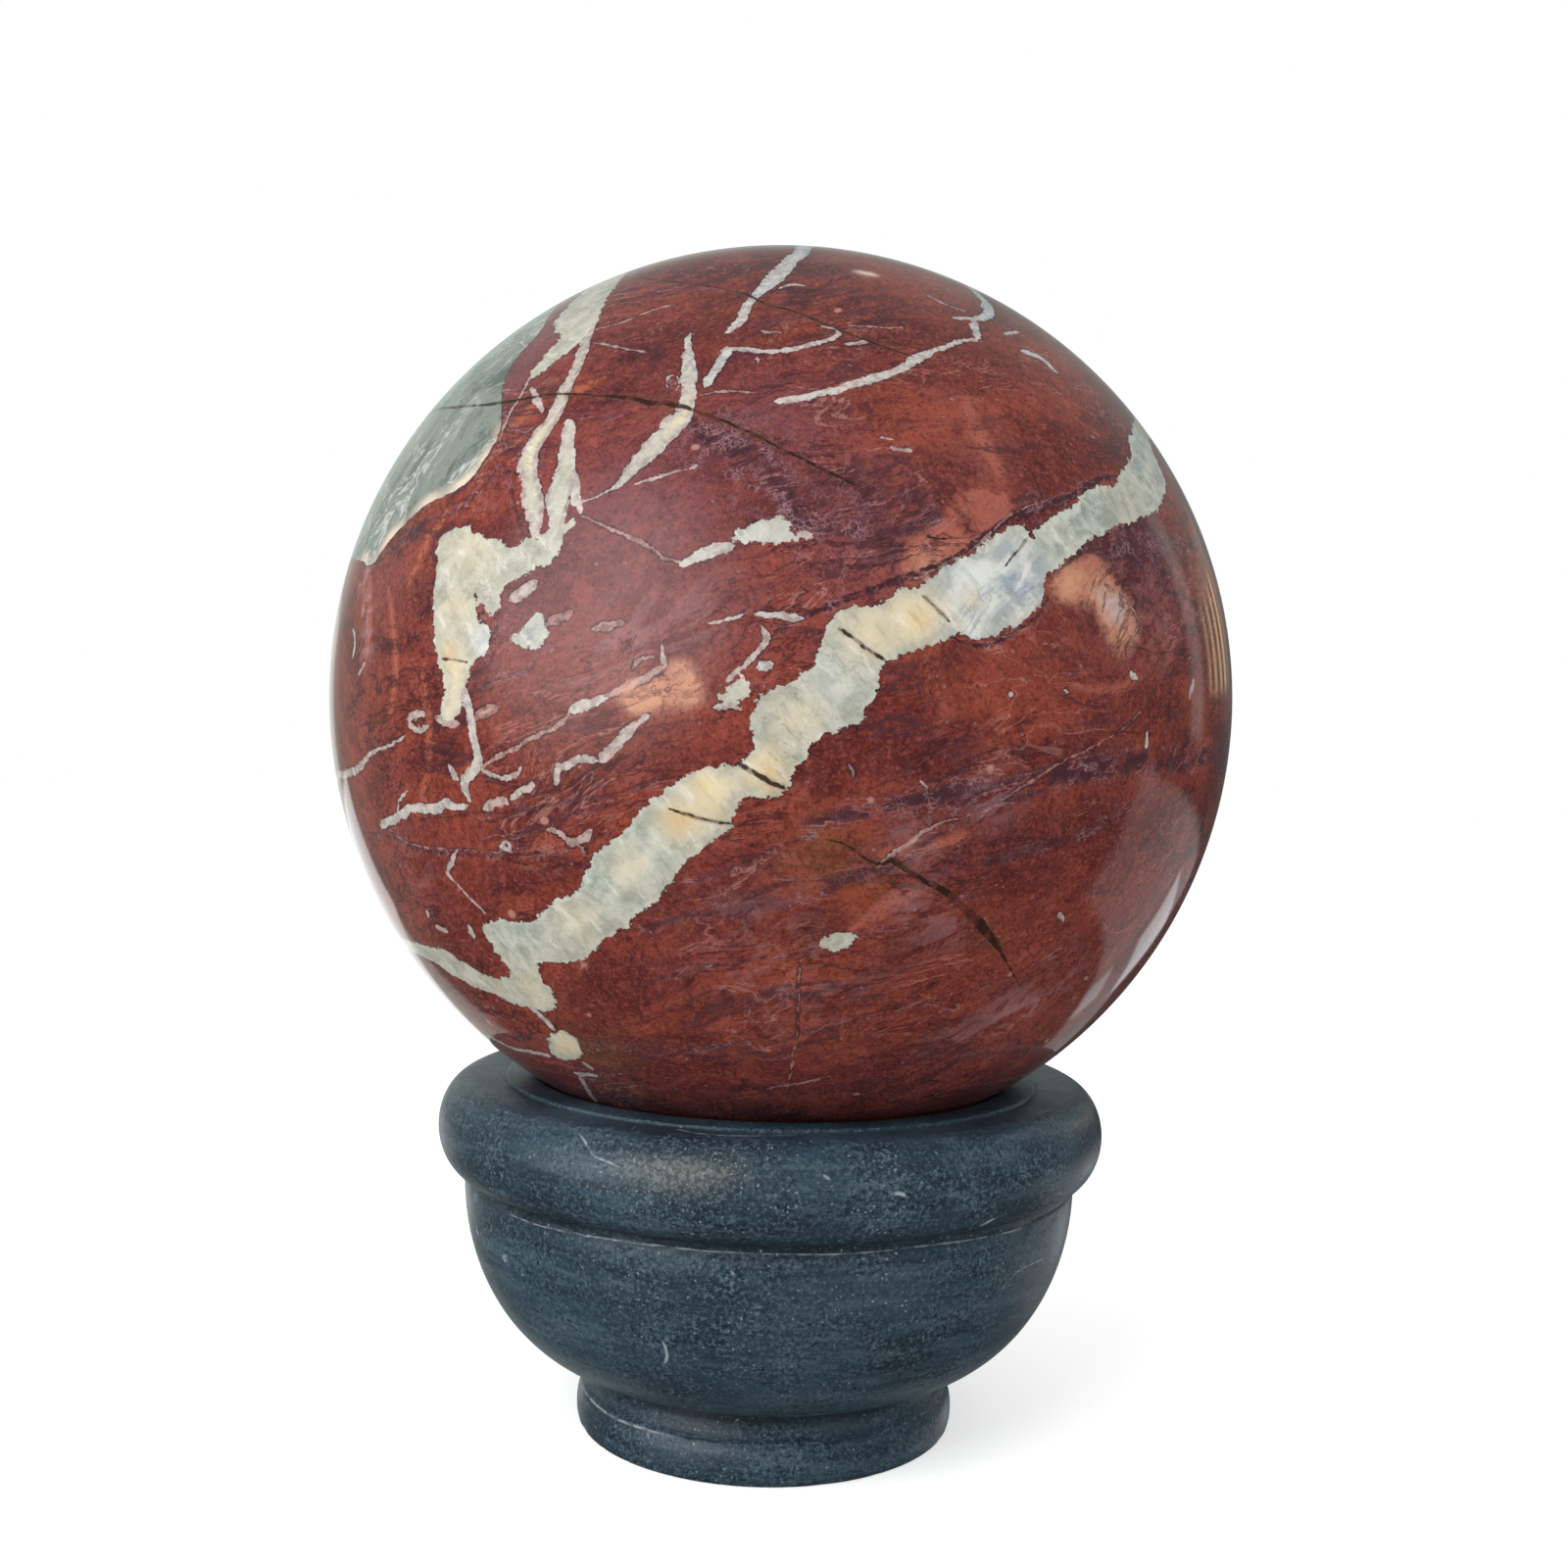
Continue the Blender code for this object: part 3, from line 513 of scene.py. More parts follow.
# The same stone where the photo does not reach: degrees round and up, half width in mm
backVeins = {
    "great vein goes on": (0.1, (
        (98, 36, 5.5), (106, 35, 7), (111, 38, 4.5), (116, 39, 8), (121, 42, 6), (126, 42, 8),
        (133, 44, 5), (140, 41, 8), (146, 37, 4), (152, 37, 6), (160, 32, 4), (166, 33, 5), (172, 27, 3),
        (180, 25, 3.5), (186, 20, 1.5), (194, 19, 1))),
    "side of the great vein": (0.2, (
        (126, 43, 3), (130, 36, 2.5), (138, 32, 3), (141, 26, 1.5), (149, 23, 1))),
    "back islet a": (0.1, ((168, 40, 1), (171, 42, 3.5), (176, 40, 4), (178, 43, 1.5))),
    "back islet b": (0.1, ((146, 30, 1), (149, 31, 3), (153, 29, 2))),
    "back islet c": (0.3, ((190, -8, 1), (193, -6, 3), (197, -8, 2.5), (199, -5, 1))),
    "crown vein": (0.1, (
        (11, 76, 2.5), (14, 80, 2), (30, 83, 3), (60, 81, 1.5), (90, 77, 3), (120, 74, 3.5), (136, 69, 2),
        (150, 67, 3), (158, 62, 1), (170, 60, 1))),
    "crown branch": (0.2, ((120, 74, 1.5), (108, 69, 2.5), (104, 66, 1), (100, 58, 1))),
    "right top goes on": (0.1, (
        (52, 62, 1.5), (60, 60, 2.2), (70, 56, 1.2), (80, 57, 2.4), (90, 54, 1.5), (96, 51, 0.8))),
    "far left goes on": (0.3, (
        (290, -11, 1.2), (282, -12, 1.6), (274, -15, 0.8), (268, -14, 1.2), (260, -12, 0.5))),
    "crown bit": (0.3, ((206, 72, 1), (214, 70, 2.2), (224, 72, 1))),
    "back ladder": (0.1, (
        (214, 54, 1), (210, 49, 2.5), (206, 44, 1.5), (209, 38, 4), (207, 33, 2.5), (211, 28, 5),
        (207, 22, 3), (203, 17, 5), (206, 10, 3), (209, 6, 4.5), (203, 0, 2.5), (200, -6, 3.5),
        (203, -11, 1.5), (205, -17, 1))),
    "back ladder rung": (0.2, (
        (208, 26, 2), (214, 24, 3), (219, 20, 1.5), (228, 22, 3), (236, 20, 2), (241, 24, 1))),
    "second rung": (0.3, ((206, 10, 1.5), (198, 8, 2.5), (194, 11, 1.5), (187, 9, 2), (181, 11, 0.8))),
    "back slant": (0.1, (
        (126, -6, 1), (134, -1, 2), (142, 2, 4), (148, 1, 2.5), (154, 5, 4.5), (161, 9, 3), (166, 9, 4),
        (173, 12, 2), (178, 10, 2.5), (184, 13, 1))),
    "slant fork": (0.3, ((154, 5, 2), (158, -1, 2.5), (165, -4, 1.5), (172, -4, 1))),
    "right slant": (0.2, (
        (86, -14, 1), (94, -10, 2.5), (100, -9, 1.5), (106, -6, 3), (113, -6, 1.5), (120, -2, 2.5),
        (129, -1, 1))),
    "left fork": (0.1, (
        (284, -31, 1.6), (278, -30, 2.4), (270, -25, 2.5), (266, -23, 1.5), (259, -20, 4),
        (254, -21, 2.5), (247, -15, 4), (242, -12, 2.5), (235, -11, 3), (229, -8, 1.5), (222, -3, 1))),
    "left bits": (0.3, ((250, -4, 1), (254, -1, 2.5), (259, -2, 1))),
    "left stem": (0.2, (
        (268, 4, 1), (264, 10, 2.5), (266, 16, 1.5), (262, 22, 3), (264, 28, 1), (258, 34, 1))),
    "low thread": (0.6, (
        (120, -40, 0.6), (132, -38, 1.4), (145, -34, 0.8), (158, -36, 1.4), (170, -34, 0.6),
        (182, -31, 1.2), (196, -28, 0.6))),
    "low thread b": (0.6, (
        (226, -40, 0.6), (236, -39, 1.4), (246, -36, 0.8), (254, -38, 1.2), (262, -38, 0.6))),
    "low knots": (0.4, ((150, -20, 1), (154, -18, 2.5), (160, -20, 2), (163, -17, 1))),
    "right thread": (0.4, (
        (90, 20, 0.6), (98, 23, 1.8), (104, 23, 0.8), (112, 25, 1.6), (120, 22, 0.8), (134, 28, 0.6))),
    "back hairline": (0.9, (
        (150, 56, 0.3), (164, 52, 0.7), (176, 44, 0.4), (190, 50, 0.7), (206, 56, 0.4), (228, 50, 0.3))),
    "back hairline b": (0.9, (
        (120, 8, 0.3), (136, 14, 0.7), (150, 14, 0.4), (166, 20, 0.6), (180, 18, 0.3))),
    "back hairline c": (0.8, (
        (214, -22, 0.3), (228, -18, 0.8), (240, -22, 0.5), (256, -12, 0.7), (270, -12, 0.3))),
    "back hairline d": (0.8, ((166, -14, 0.3), (178, -12, 0.8), (190, -16, 0.4), (204, -22, 0.6))),
}
backCracks = {
    "round the back": ((120, 12, 0.3), (140, 16, 0.5), (156, 24, 0.6), (176, 30, 0.6), (196, 30, 0.4)),
    "left back": ((232, 40, 0.3), (246, 30, 0.6), (256, 16, 0.7), (258, 4, 0.4)),
}
backSeams = {
    "right round": (0.1, (
        (80, -4.5, 3), (86, -5, 2.5), (100, -2, 2.4), (120, -6, 2), (144, -10, 1.6), (160, -8, 1))),
    "left round": (0.3, ((284, -16, 1), (264, -10, 2), (246, -4, 2.4), (228, 4, 1.8), (214, 4, 1))),
    "high back": (0.4, ((110, 38, 1), (130, 32, 2), (156, 26, 1.6), (170, 22, 1))),
    "low back": (0.2, ((150, -22, 1), (176, -20, 2), (200, -24, 2), (224, -24, 1))),
}


# Sphere mesh: an even grid of squares, gathered a little towards the side in the photo
sphereBuild = {
    "gridCuts": 123,
    "gathering": 1.30,
}


def gridSphere(name):
    shape = bmesh.new()
    bmesh.ops.create_cube(shape, size=2)
    bmesh.ops.subdivide_edges(shape, edges=shape.edges, cuts=sphereBuild["gridCuts"], use_grid_fill=True)
    mesh = bpy.data.meshes.new(name)
    shape.to_mesh(mesh)
    shape.free()
    places = np.empty(len(mesh.vertices) * 3)
    mesh.vertices.foreach_get("co", places)
    places = np.tan(places.reshape(-1, 3) * math.pi / 4)
    places /= np.linalg.norm(places, axis=1, keepdims=True)
    # slide points towards the camera along great circles, which keeps the squares square
    towards = eyeOffset / np.linalg.norm(eyeOffset)
    forward = places @ towards
    sideways = places - forward[:, None] * towards
    gather = sphereBuild["gathering"]
    flat = np.sqrt(np.maximum(1 - forward, 0) / np.maximum(1 + forward, 1e-9)) / gather
    newForward = (1 - flat**2) / (1 + flat**2)
    spread = 2 * flat / (1 + flat**2) / np.maximum(np.linalg.norm(sideways, axis=1), 1e-9)
    places = newForward[:, None] * towards + sideways * spread[:, None]
    places /= np.linalg.norm(places, axis=1, keepdims=True)
    mesh.vertices.foreach_set("co", (places * sphereRadius).ravel())
    mesh.shade_smooth()
    mesh.update()
    return mesh, places


# Fields: how far each point of a mesh lies from a route, in mm
fieldReach = {
    "thread": 10.0,          # how far beside a route or an outline its field goes
    "outline": 12.0,
    "widest": 70.0,          # no place inside an outline lies deeper
    "unreached": -9.0,       # half width that stands for no thread nearby
    "spacing": 6.0,          # threads nearer to each other than this don't share a field
    "farApart": 200.0,       # middles of threads that can't come near each other
}


def nearestPart(spots, start, step):
    along = spots @ step.T - (start * step).sum(1)
    length2 = np.maximum((step * step).sum(1), 1e-9)
    share = along / length2
    held = np.clip(share, 0, 1)
    gap2 = (spots * spots).sum(1)[:, None] - 2 * spots @ start.T + (start * start).sum(1)
    far2 = gap2 - 2 * held * along + held * held * length2
    best = far2.argmin(1)
    rows = np.arange(len(spots))
    return best, share[rows, best], np.sqrt(np.maximum(far2[rows, best], 0))


def around(spots, route, margin):
    # which spots lie within a margin of the ball that holds the route
    middle = route.mean(0)
    reach = np.linalg.norm(route - middle, axis=1).max() + margin
    return np.flatnonzero(((spots - middle) ** 2).sum(1) < reach**2)


def addThread(field, spots, outward, route, halfWidths, tone):
    # field columns: distance across the thread with a sign, half width there, tone
    near = around(spots, route, fieldReach["thread"])
    if len(near) == 0:
        return
    start, step = route[:-1], np.diff(route, axis=0)
    length = np.linalg.norm(step, axis=1)
    best, share, far = nearestPart(spots[near], start, step)
    held = np.clip(share, 0, 1)
    offset = spots[near] - start[best]
    turn = (np.cross(step[best], offset) * outward[near]).sum(1) / length[best]
    past = np.where(best == len(step) - 1, np.maximum(share - 1, 0), 0)
    past += np.where(best == 0, np.maximum(-share, 0), 0)
    past *= length[best]
    across = np.where(past > 0, turn, np.sign(turn) * far)
    width = halfWidths[best] * (1 - held) + halfWidths[best + 1] * held
    # more than 2 mm outside, the field falls off steeply
    width = width - past - 4 * np.maximum(np.abs(across) - width - 2, 0)
    better = width - np.abs(across) > field[near, 1] - np.abs(field[near, 0])
    chosen = near[better]
    field[chosen] = np.stack((across, width, np.full(len(near), tone)), 1)[better]


def addOutline(field, spots, outline):
    # deepest wins: mm inside a closed outline, less than 0 outside
    near = around(spots, outline, fieldReach["outline"])
    if len(near) == 0:
        return
    start = outline
    after = np.roll(outline, -1, 0)
    far = nearestPart(spots[near], start, after - start)[2]
    unit = spots[near] / radiusMm
    a, b = start / radiusMm, after / radiusMm
    cross = unit @ np.cross(a, b).T
    dots = (a * b).sum(1) - (unit @ a.T) * (unit @ b.T)
    # the turns of the outline seen from a point, which mislead on the far side of the sphere
    turns = np.abs(np.arctan2(cross, dots).sum(1))
    inside = (turns > math.pi) & (far < fieldReach["widest"])
    field[near] = np.maximum(field[near], np.where(inside, far, -far))


def threadsOnSphere(front, back, withTone):
    # every thread as a route on the sphere in mm, its half widths in mm, and its tone
    found = []
    for source, place in ((front, onSphere), (back, fromAngles)):
        for entry in source.values():
            tone, points = entry if withTone else (0.0, entry)
            route = np.array(points, float)
            if place is onSphere:
                route = roundOff(route, 2)
                where = onSphere(route) * radiusMm
                depth = (where - eyeOffset * radiusMm) @ aheadAxis
                widths = route[:, 2] * depth / focalPixels
            else:
                steps = np.linspace(0, len(route) - 1, len(route) * 6)
                fine = [np.interp(steps, np.arange(len(route)), column) for column in route.T]
                route = roundOff(np.stack(fine, 1), 3)
                where = fromAngles(route) * radiusMm
                widths = route[:, 2]
            found.append((where, widths, tone))
    return found


def shareOut(threads):
    # threads that come close to each other go into different fields
    fields = []
    for thread in threads:
        where, widths, _ = thread
        for members in fields:
            clear = True
            for other, otherWidths, _ in members:
                if np.linalg.norm(where.mean(0) - other.mean(0)) > fieldReach["farApart"]:
                    continue
                gaps = np.linalg.norm(where[:, None] - other[None], axis=2).min()
                if gaps < widths.max() + otherWidths.max() + fieldReach["spacing"]:
                    clear = False
                    break
            if clear:
                members.append(thread)
                break
        else:
            fields.append([thread])
    return fields


def setVectors(mesh, name, values):
    layer = mesh.attributes.new(name, "FLOAT_VECTOR", "POINT")
    layer.data.foreach_set("vector", values.astype(np.float32).ravel())


def writeThreads(mesh, spots, outward, threads, label):
    groups = shareOut(threads)
    for number, members in enumerate(groups):
        field = np.zeros((len(spots), 3))
        field[:, 1] = fieldReach["unreached"]
        for where, widths, tone in members:
            addThread(field, spots, outward, where, widths, tone)
        setVectors(mesh, f"{label}{number}", field)
    print(label, "fields:", len(groups))
    return len(groups)


# Soft areas of colour round the back: degrees round and up, radius in degrees, strength
backAreas = {
    "mauve": (
        (150, 54, 14, 0.8), (190, 34, 12, 0.7), (230, 36, 16, 0.8), (250, 6, 12, 0.7), (118, 30, 10, 0.7),
        (176, 0, 9, 0.5), (214, -12, 10, 0.5), (100, 6, 9, 0.5), (300, 60, 20, 0.5)),
    "salmon": (
        (128, 10, 8, 0.8), (186, 52, 8, 0.7), (222, 10, 9, 0.8), (160, -26, 8, 0.6), (262, -6, 7, 0.6),
        (92, 34, 7, 0.6)),
    "dark": (
        (166, -6, 10, 0.5), (200, 40, 9, 0.5), (240, -6, 12, 0.5), (130, -20, 12, 0.4), (110, 60, 12, 0.4)),
    "orange": (
        (140, -12, 14, 0.7), (214, 28, 12, 0.6), (250, -28, 12, 0.7), (180, 66, 12, 0.5),
        (110, -26, 14, 0.6), (90, 62, 9, 0.5)),
    "olive": ((178, 22, 5, 0.5), (250, 22, 5, 0.5)),
    "fleck": (
        (160, 20, 7, 0.8), (226, 0, 8, 0.9), (124, 24, 6, 0.7), (186, -24, 7, 0.7), (200, 62, 6, 0.6)),
    "cream": (
        (116, 39, 5, 0.8), (152, 37, 5, 0.7), (208, 20, 6, 0.6), (154, 5, 5, 0.6), (259, -20, 5, 0.5),
        (110, 75, 6, 0.5)),
    "ochre": ((141, 40, 3, 0.7), (170, 31, 3, 0.7), (209, 27, 3, 0.5)),
    "blue": ((206, 2, 7, 0.8), (128, 43, 6, 0.6), (146, 2, 5, 0.5), (246, -16, 6, 0.5)),
    "grey": (
        (102, 37, 12, 1.0), (120, 41, 8, 0.8), (134, 43, 8, 0.8), (163, 33, 8, 0.8), (208, 34, 8, 0.7),
        (205, 8, 8, 0.6), (262, -22, 9, 0.6)),
    "peach": (),
    "haze": (
        (120, -34, 10, 0.6), (200, -30, 12, 0.6), (238, 50, 12, 0.5), (160, 46, 10, 0.4),
        (270, 40, 10, 0.4)),
}


def areaStrength(directions, areas, backward):
    total = np.zeros(len(directions))
    for x, y, reach, strength in areas:
        # the reach in photo pixels as a share of the radius, at that distance from the camera
        middle = onSphere([(x, y)])[0]
        scale = reach / focalPixels * (viewpoint["distance"] - middle @ eyeOffset / viewpoint["distance"])
        away2 = ((directions - middle) ** 2).sum(1)
        total = np.maximum(total, strength * np.exp(-away2 / (2 * scale**2) * 1.4))
    for turn, lift, reach, strength in backward:
        away2 = ((directions - fromAngles([(turn, lift)])) ** 2).sum(1)
        total = np.maximum(total, strength * np.exp(-away2 / math.radians(reach) ** 2))
    return total


sphereMesh, sphereDirections = gridSphere("marble sphere")
sphereSpots = sphereDirections * radiusMm
threadTables = {
    "pale": (paleThreads, backVeins, True),
    "crack": (brownCracks, backCracks, False),
    "seam": (purpleSeams, backSeams, True),
    "streak": (softStreaks, {}, True),
}
threadCounts = {}
for label, tables in threadTables.items():
    threads = threadsOnSphere(*tables)
    threadCounts[label] = writeThreads(sphereMesh, sphereSpots, sphereDirections, threads, label)
outlineFields = []
for outlines in (paleOutlines.values(), [greenOutline], salmonOutlines.values()):
    depths = np.full(len(sphereSpots), -fieldReach["outline"])
    for outline in outlines:
        rounded = roundOff(np.array(outline, float), 1, True)
        addOutline(depths, sphereSpots, onSphere(rounded) * radiusMm)
    outlineFields.append(depths)
setVectors(sphereMesh, "outlines", np.stack(outlineFields, 1))
tintOrder = (
    ("tintA", ("mauve", "salmon", "dark")), ("tintB", ("orange", "olive", "fleck")),
    ("tintC", ("cream", "ochre", "blue")), ("tintD", ("grey", "peach", "haze")))
for name, kinds in tintOrder:
    found = [areaStrength(sphereDirections, softAreas[kind], backAreas[kind]) for kind in kinds]
    setVectors(sphereMesh, name, np.stack(found, 1))
print("sphere fields written")


# Node helpers
def feed(tree, value, socket):
    if isinstance(value, bpy.types.NodeSocket):
        tree.links.new(value, socket)
    else:
        socket.default_value = value


def addNode(tree, kind, inputs=None, **settings):
    made = tree.nodes.new("ShaderNode" + kind)
    for name, value in settings.items():
        setattr(made, name, value)
    for name, value in (inputs or {}).items():
        feed(tree, value, made.inputs[name])
    return made


def sums(tree, operation, *values, clamp=False):
    made = addNode(tree, "Math", operation=operation, use_clamp=clamp)
    for socket, value in zip(made.inputs, values):
        feed(tree, value, socket)
    return made.outputs[0]


def times(tree, first, second, clamp=False):
    return sums(tree, "MULTIPLY", first, second, clamp=clamp)


def vectorSums(tree, operation, *values):
    made = addNode(tree, "VectorMath", operation=operation)
    for socket, value in zip(made.inputs, values):
        feed(tree, value, socket)
    return made.outputs["Vector"]


def softStep(tree, value, low, high, fromValue=0.0, toValue=1.0):
    made = addNode(tree, "MapRange", {
        "Value": value, "From Min": low, "From Max": high, "To Min": fromValue, "To Max": toValue,
    }, interpolation_type="SMOOTHSTEP")
    return made.outputs["Result"]


def mixColour(tree, share, under, over, mode="MIX"):
    made = addNode(tree, "Mix", data_type="RGBA", blend_type=mode, clamp_factor=True)
    feed(tree, share, made.inputs[0])
    feed(tree, under, made.inputs[6])
    feed(tree, over, made.inputs[7])
    return made.outputs[2]


def clouds(tree, where, scale, detail=4.0, rough=0.55, distortion=0.0, colour=False):
    made = addNode(tree, "TexNoise", {
        "Vector": where, "Scale": scale, "Detail": detail, "Roughness": rough, "Distortion": distortion,
    })
    return made.outputs["Color" if colour else "Fac"]


def cells(tree, where, scale, feature="F1", randomness=1.0):
    return addNode(tree, "TexVoronoi", {
        "Vector": where, "Scale": scale, "Randomness": randomness}, feature=feature)


def attributeParts(tree, name):
    read = addNode(tree, "Attribute", attribute_name=name)
    parts = addNode(tree, "SeparateXYZ", {"Vector": read.outputs["Vector"]})
    return parts.outputs[0], parts.outputs[1], parts.outputs[2]


def shade(red, green, blue):
    # screen colours from 0 to 255 to the shader's own scale
    levels = [((c / 255 + 0.055) / 1.055) ** 2.4 if c > 10 else c / 3294 for c in (red, green, blue)]
    return (*levels, 1.0)


def inksOf(values):
    # the colours among a piece's values, on the shader's own scale
    return {name: shade(*value) for name, value in values.items() if isinstance(value, tuple)}


def newGroup(name, inputs, outputs):
    group = bpy.data.node_groups.new(name, "ShaderNodeTree")
    for label, kind, value in inputs:
        socket = group.interface.new_socket(name=label, in_out="INPUT", socket_type=kind)
        if value is not None:
            socket.default_value = value
    for label, kind in outputs:
        group.interface.new_socket(name=label, in_out="OUTPUT", socket_type=kind)
    return group, group.nodes.new("NodeGroupInput"), group.nodes.new("NodeGroupOutput")


def useGroup(tree, group, **inputs):
    made = tree.nodes.new("ShaderNodeGroup")
    made.node_tree = group
    for label, value in inputs.items():
        feed(tree, value, made.inputs[label])
    return made


def makeSpecks():
    # small round specks, each in a cell of its own, with only a share of the cells filled
    group, given, result = newGroup("stone specks", (
        ("Vector", "NodeSocketVector", None), ("Scale", "NodeSocketFloat", 200.0),
        ("Size", "NodeSocketFloat", 0.3), ("Share", "NodeSocketFloat", 0.2),
    ), (("Mask", "NodeSocketFloat"), ("Pick", "NodeSocketFloat")))
    grit = cells(group, given.outputs["Vector"], given.outputs["Scale"])
    pick = addNode(group, "SeparateColor", {"Color": grit.outputs["Color"]})
    uneven = sums(group, "MULTIPLY_ADD", pick.outputs[1], 0.8, 0.3)
    size = times(group, given.outputs["Size"], uneven)
    dot = softStep(group, sums(group, "SUBTRACT", grit.outputs["Distance"], size), 0.06, -0.06)
    filled = sums(group, "LESS_THAN", pick.outputs[0], given.outputs["Share"])
    feed(group, times(group, dot, filled), result.inputs["Mask"])
    feed(group, pick.outputs[2], result.inputs["Pick"])
    return group


def makeGrain():
    # broad clouds and fine grain of the stone, both near 0.5
    group, given, result = newGroup("stone grain", (
        ("Vector", "NodeSocketVector", None), ("Broad", "NodeSocketFloat", 20.0),
        ("Fine", "NodeSocketFloat", 400.0),
    ), (("Clouds", "NodeSocketFloat"), ("Grain", "NodeSocketFloat")))
    where = given.outputs["Vector"]
    feed(group, clouds(group, where, given.outputs["Broad"], 3.0, 0.5), result.inputs["Clouds"])
    feed(group, clouds(group, where, given.outputs["Fine"], 4.0, 0.65), result.inputs["Grain"])
    return group


def makePolish():
    # roughness of a polished face, with faint smears and tiny pits
    group, given, result = newGroup("polish wear", (
        ("Vector", "NodeSocketVector", None), ("Gloss", "NodeSocketFloat", 0.1),
        ("Smears", "NodeSocketFloat", 0.05), ("Pits", "NodeSocketFloat", 0.1),
    ), (("Roughness", "NodeSocketFloat"), ("Height", "NodeSocketFloat")))
    smear = clouds(group, given.outputs["Vector"], 14.0, 5.0, 0.6, 1.5)
    grit = cells(group, given.outputs["Vector"], 520.0)
    pick = addNode(group, "SeparateColor", {"Color": grit.outputs["Color"]})
    pit = times(group, softStep(group, grit.outputs["Distance"], 0.32, 0.12),
                sums(group, "LESS_THAN", pick.outputs[0], given.outputs["Pits"]))
    smeared = softStep(group, smear, 0.4, 0.75)
    rough = sums(group, "MULTIPLY_ADD", smeared, given.outputs["Smears"], given.outputs["Gloss"])
    feed(group, sums(group, "MULTIPLY_ADD", pit, 0.25, rough, clamp=True), result.inputs["Roughness"])
    feed(group, sums(group, "SUBTRACT", 1.0, pit), result.inputs["Height"])
    return group


speckGroup = makeSpecks()
grainGroup = makeGrain()
polishGroup = makePolish()

# Marble: colours as they look on screen, sizes in mm
marble = {
    "brick": (121, 56, 48),
    "brickDark": (98, 43, 40),
    "brickBright": (142, 66, 52),
    "crumbLight": (158, 84, 70),
    "crumbDark": (66, 28, 28),
    "mauve": (120, 72, 78),
    "purple": (70, 42, 50),
    "salmon": (170, 96, 82),
    "peach": (208, 152, 122),
    "orange": (164, 78, 50),
    "apricot": (186, 104, 70),
    "olive": (98, 74, 42),
    "lilac": (166, 128, 136),
    "white": (200, 199, 192),
    "pink": (202, 148, 138),
    "veinRim": (204, 208, 198),
    "veinGrey": (148, 156, 147),
    "veinGreyLight": (186, 191, 181),
    "veinWarm": (166, 165, 150),
    "veinWarmLight": (194, 191, 177),
    "veinCore": (214, 212, 196),
    "veinCream": (228, 211, 174),
    "veinOchre": (206, 170, 112),
    "veinBlue": (156, 167, 176),
    "veinBlueLight": (218, 220, 216),
    "green": (130, 138, 130),
    "greenDark": (86, 98, 92),
    "greenLight": (178, 184, 178),
    "rust": (44, 29, 22),
    "peachMilk": (206, 190, 184),
    "seamFine": (54, 28, 34),
    "crazing": (62, 30, 34),
    "seamCrisp": (58, 32, 40),
    "squiggle": (58, 34, 44),
    "hazePink": (168, 126, 128),
    "greenSeam": (92, 104, 100),
    "greenHairline": (84, 96, 92),
    "greenThread": (206, 210, 204),
    "greenRim": (224, 204, 184),
    "greenMargin": (78, 44, 46),
    "fibreDark": (136, 140, 130),
    "fibreLight": (240, 238, 228),
    "veinCrack": (128, 130, 122),
    "lobeBand": (134, 145, 152),
    "threadBlue": (184, 198, 208),
    "threadShade": (166, 158, 152),
    "stain": (112, 72, 48),
    "beddingTilt": 13.0,     # degrees up to the right
    "gloss": 0.06,
}


def stretched(tree, where, degrees, along, away, across):
    # coordinates turned to a streak's direction, seen from the front, and pressed along it
    turned = addNode(tree, "VectorRotate", {
        "Vector": where, "Angle": math.radians(degrees)}, rotation_type="Y_AXIS").outputs[0]
    return vectorSums(tree, "MULTIPLY", turned, (along, away, across))


def ridges(tree, where, scale, width, detail=4.0, rough=0.55, distortion=0.0, middle=0.5):
    # thin wandering lines: 1 on a line and 0 beside it
    field = clouds(tree, where, scale, detail, rough, distortion)
    away = sums(tree, "ABSOLUTE", sums(tree, "SUBTRACT", field, middle))
    return softStep(tree, away, width, width * 0.15)


def patches(tree, where, scale, low, high, strength=1.0, detail=2.0):
    return softStep(tree, clouds(tree, where, scale, detail, 0.5), low, high, 0.0, strength)


def threadFields(tree, label, count, shift, swell, thickness):
    # the deepest of several thread fields, and its tone
    depth = None
    tone = None
    for number in range(count):
        across, width, own = attributeParts(tree, f"{label}{number}")
        moved = sums(tree, "ABSOLUTE", sums(tree, "ADD", across, shift))
        here = sums(tree, "SUBTRACT", sums(tree, "MULTIPLY_ADD", width, thickness, swell), moved)
        if depth is None:
            depth, tone = here, own
        else:
            pick = addNode(tree, "Mix", data_type="FLOAT")
            feed(tree, sums(tree, "GREATER_THAN", here, depth), pick.inputs[0])
            feed(tree, tone, pick.inputs[2])
            feed(tree, own, pick.inputs[3])
            tone = pick.outputs[0]
            depth = sums(tree, "MAXIMUM", depth, here)
    return depth, tone


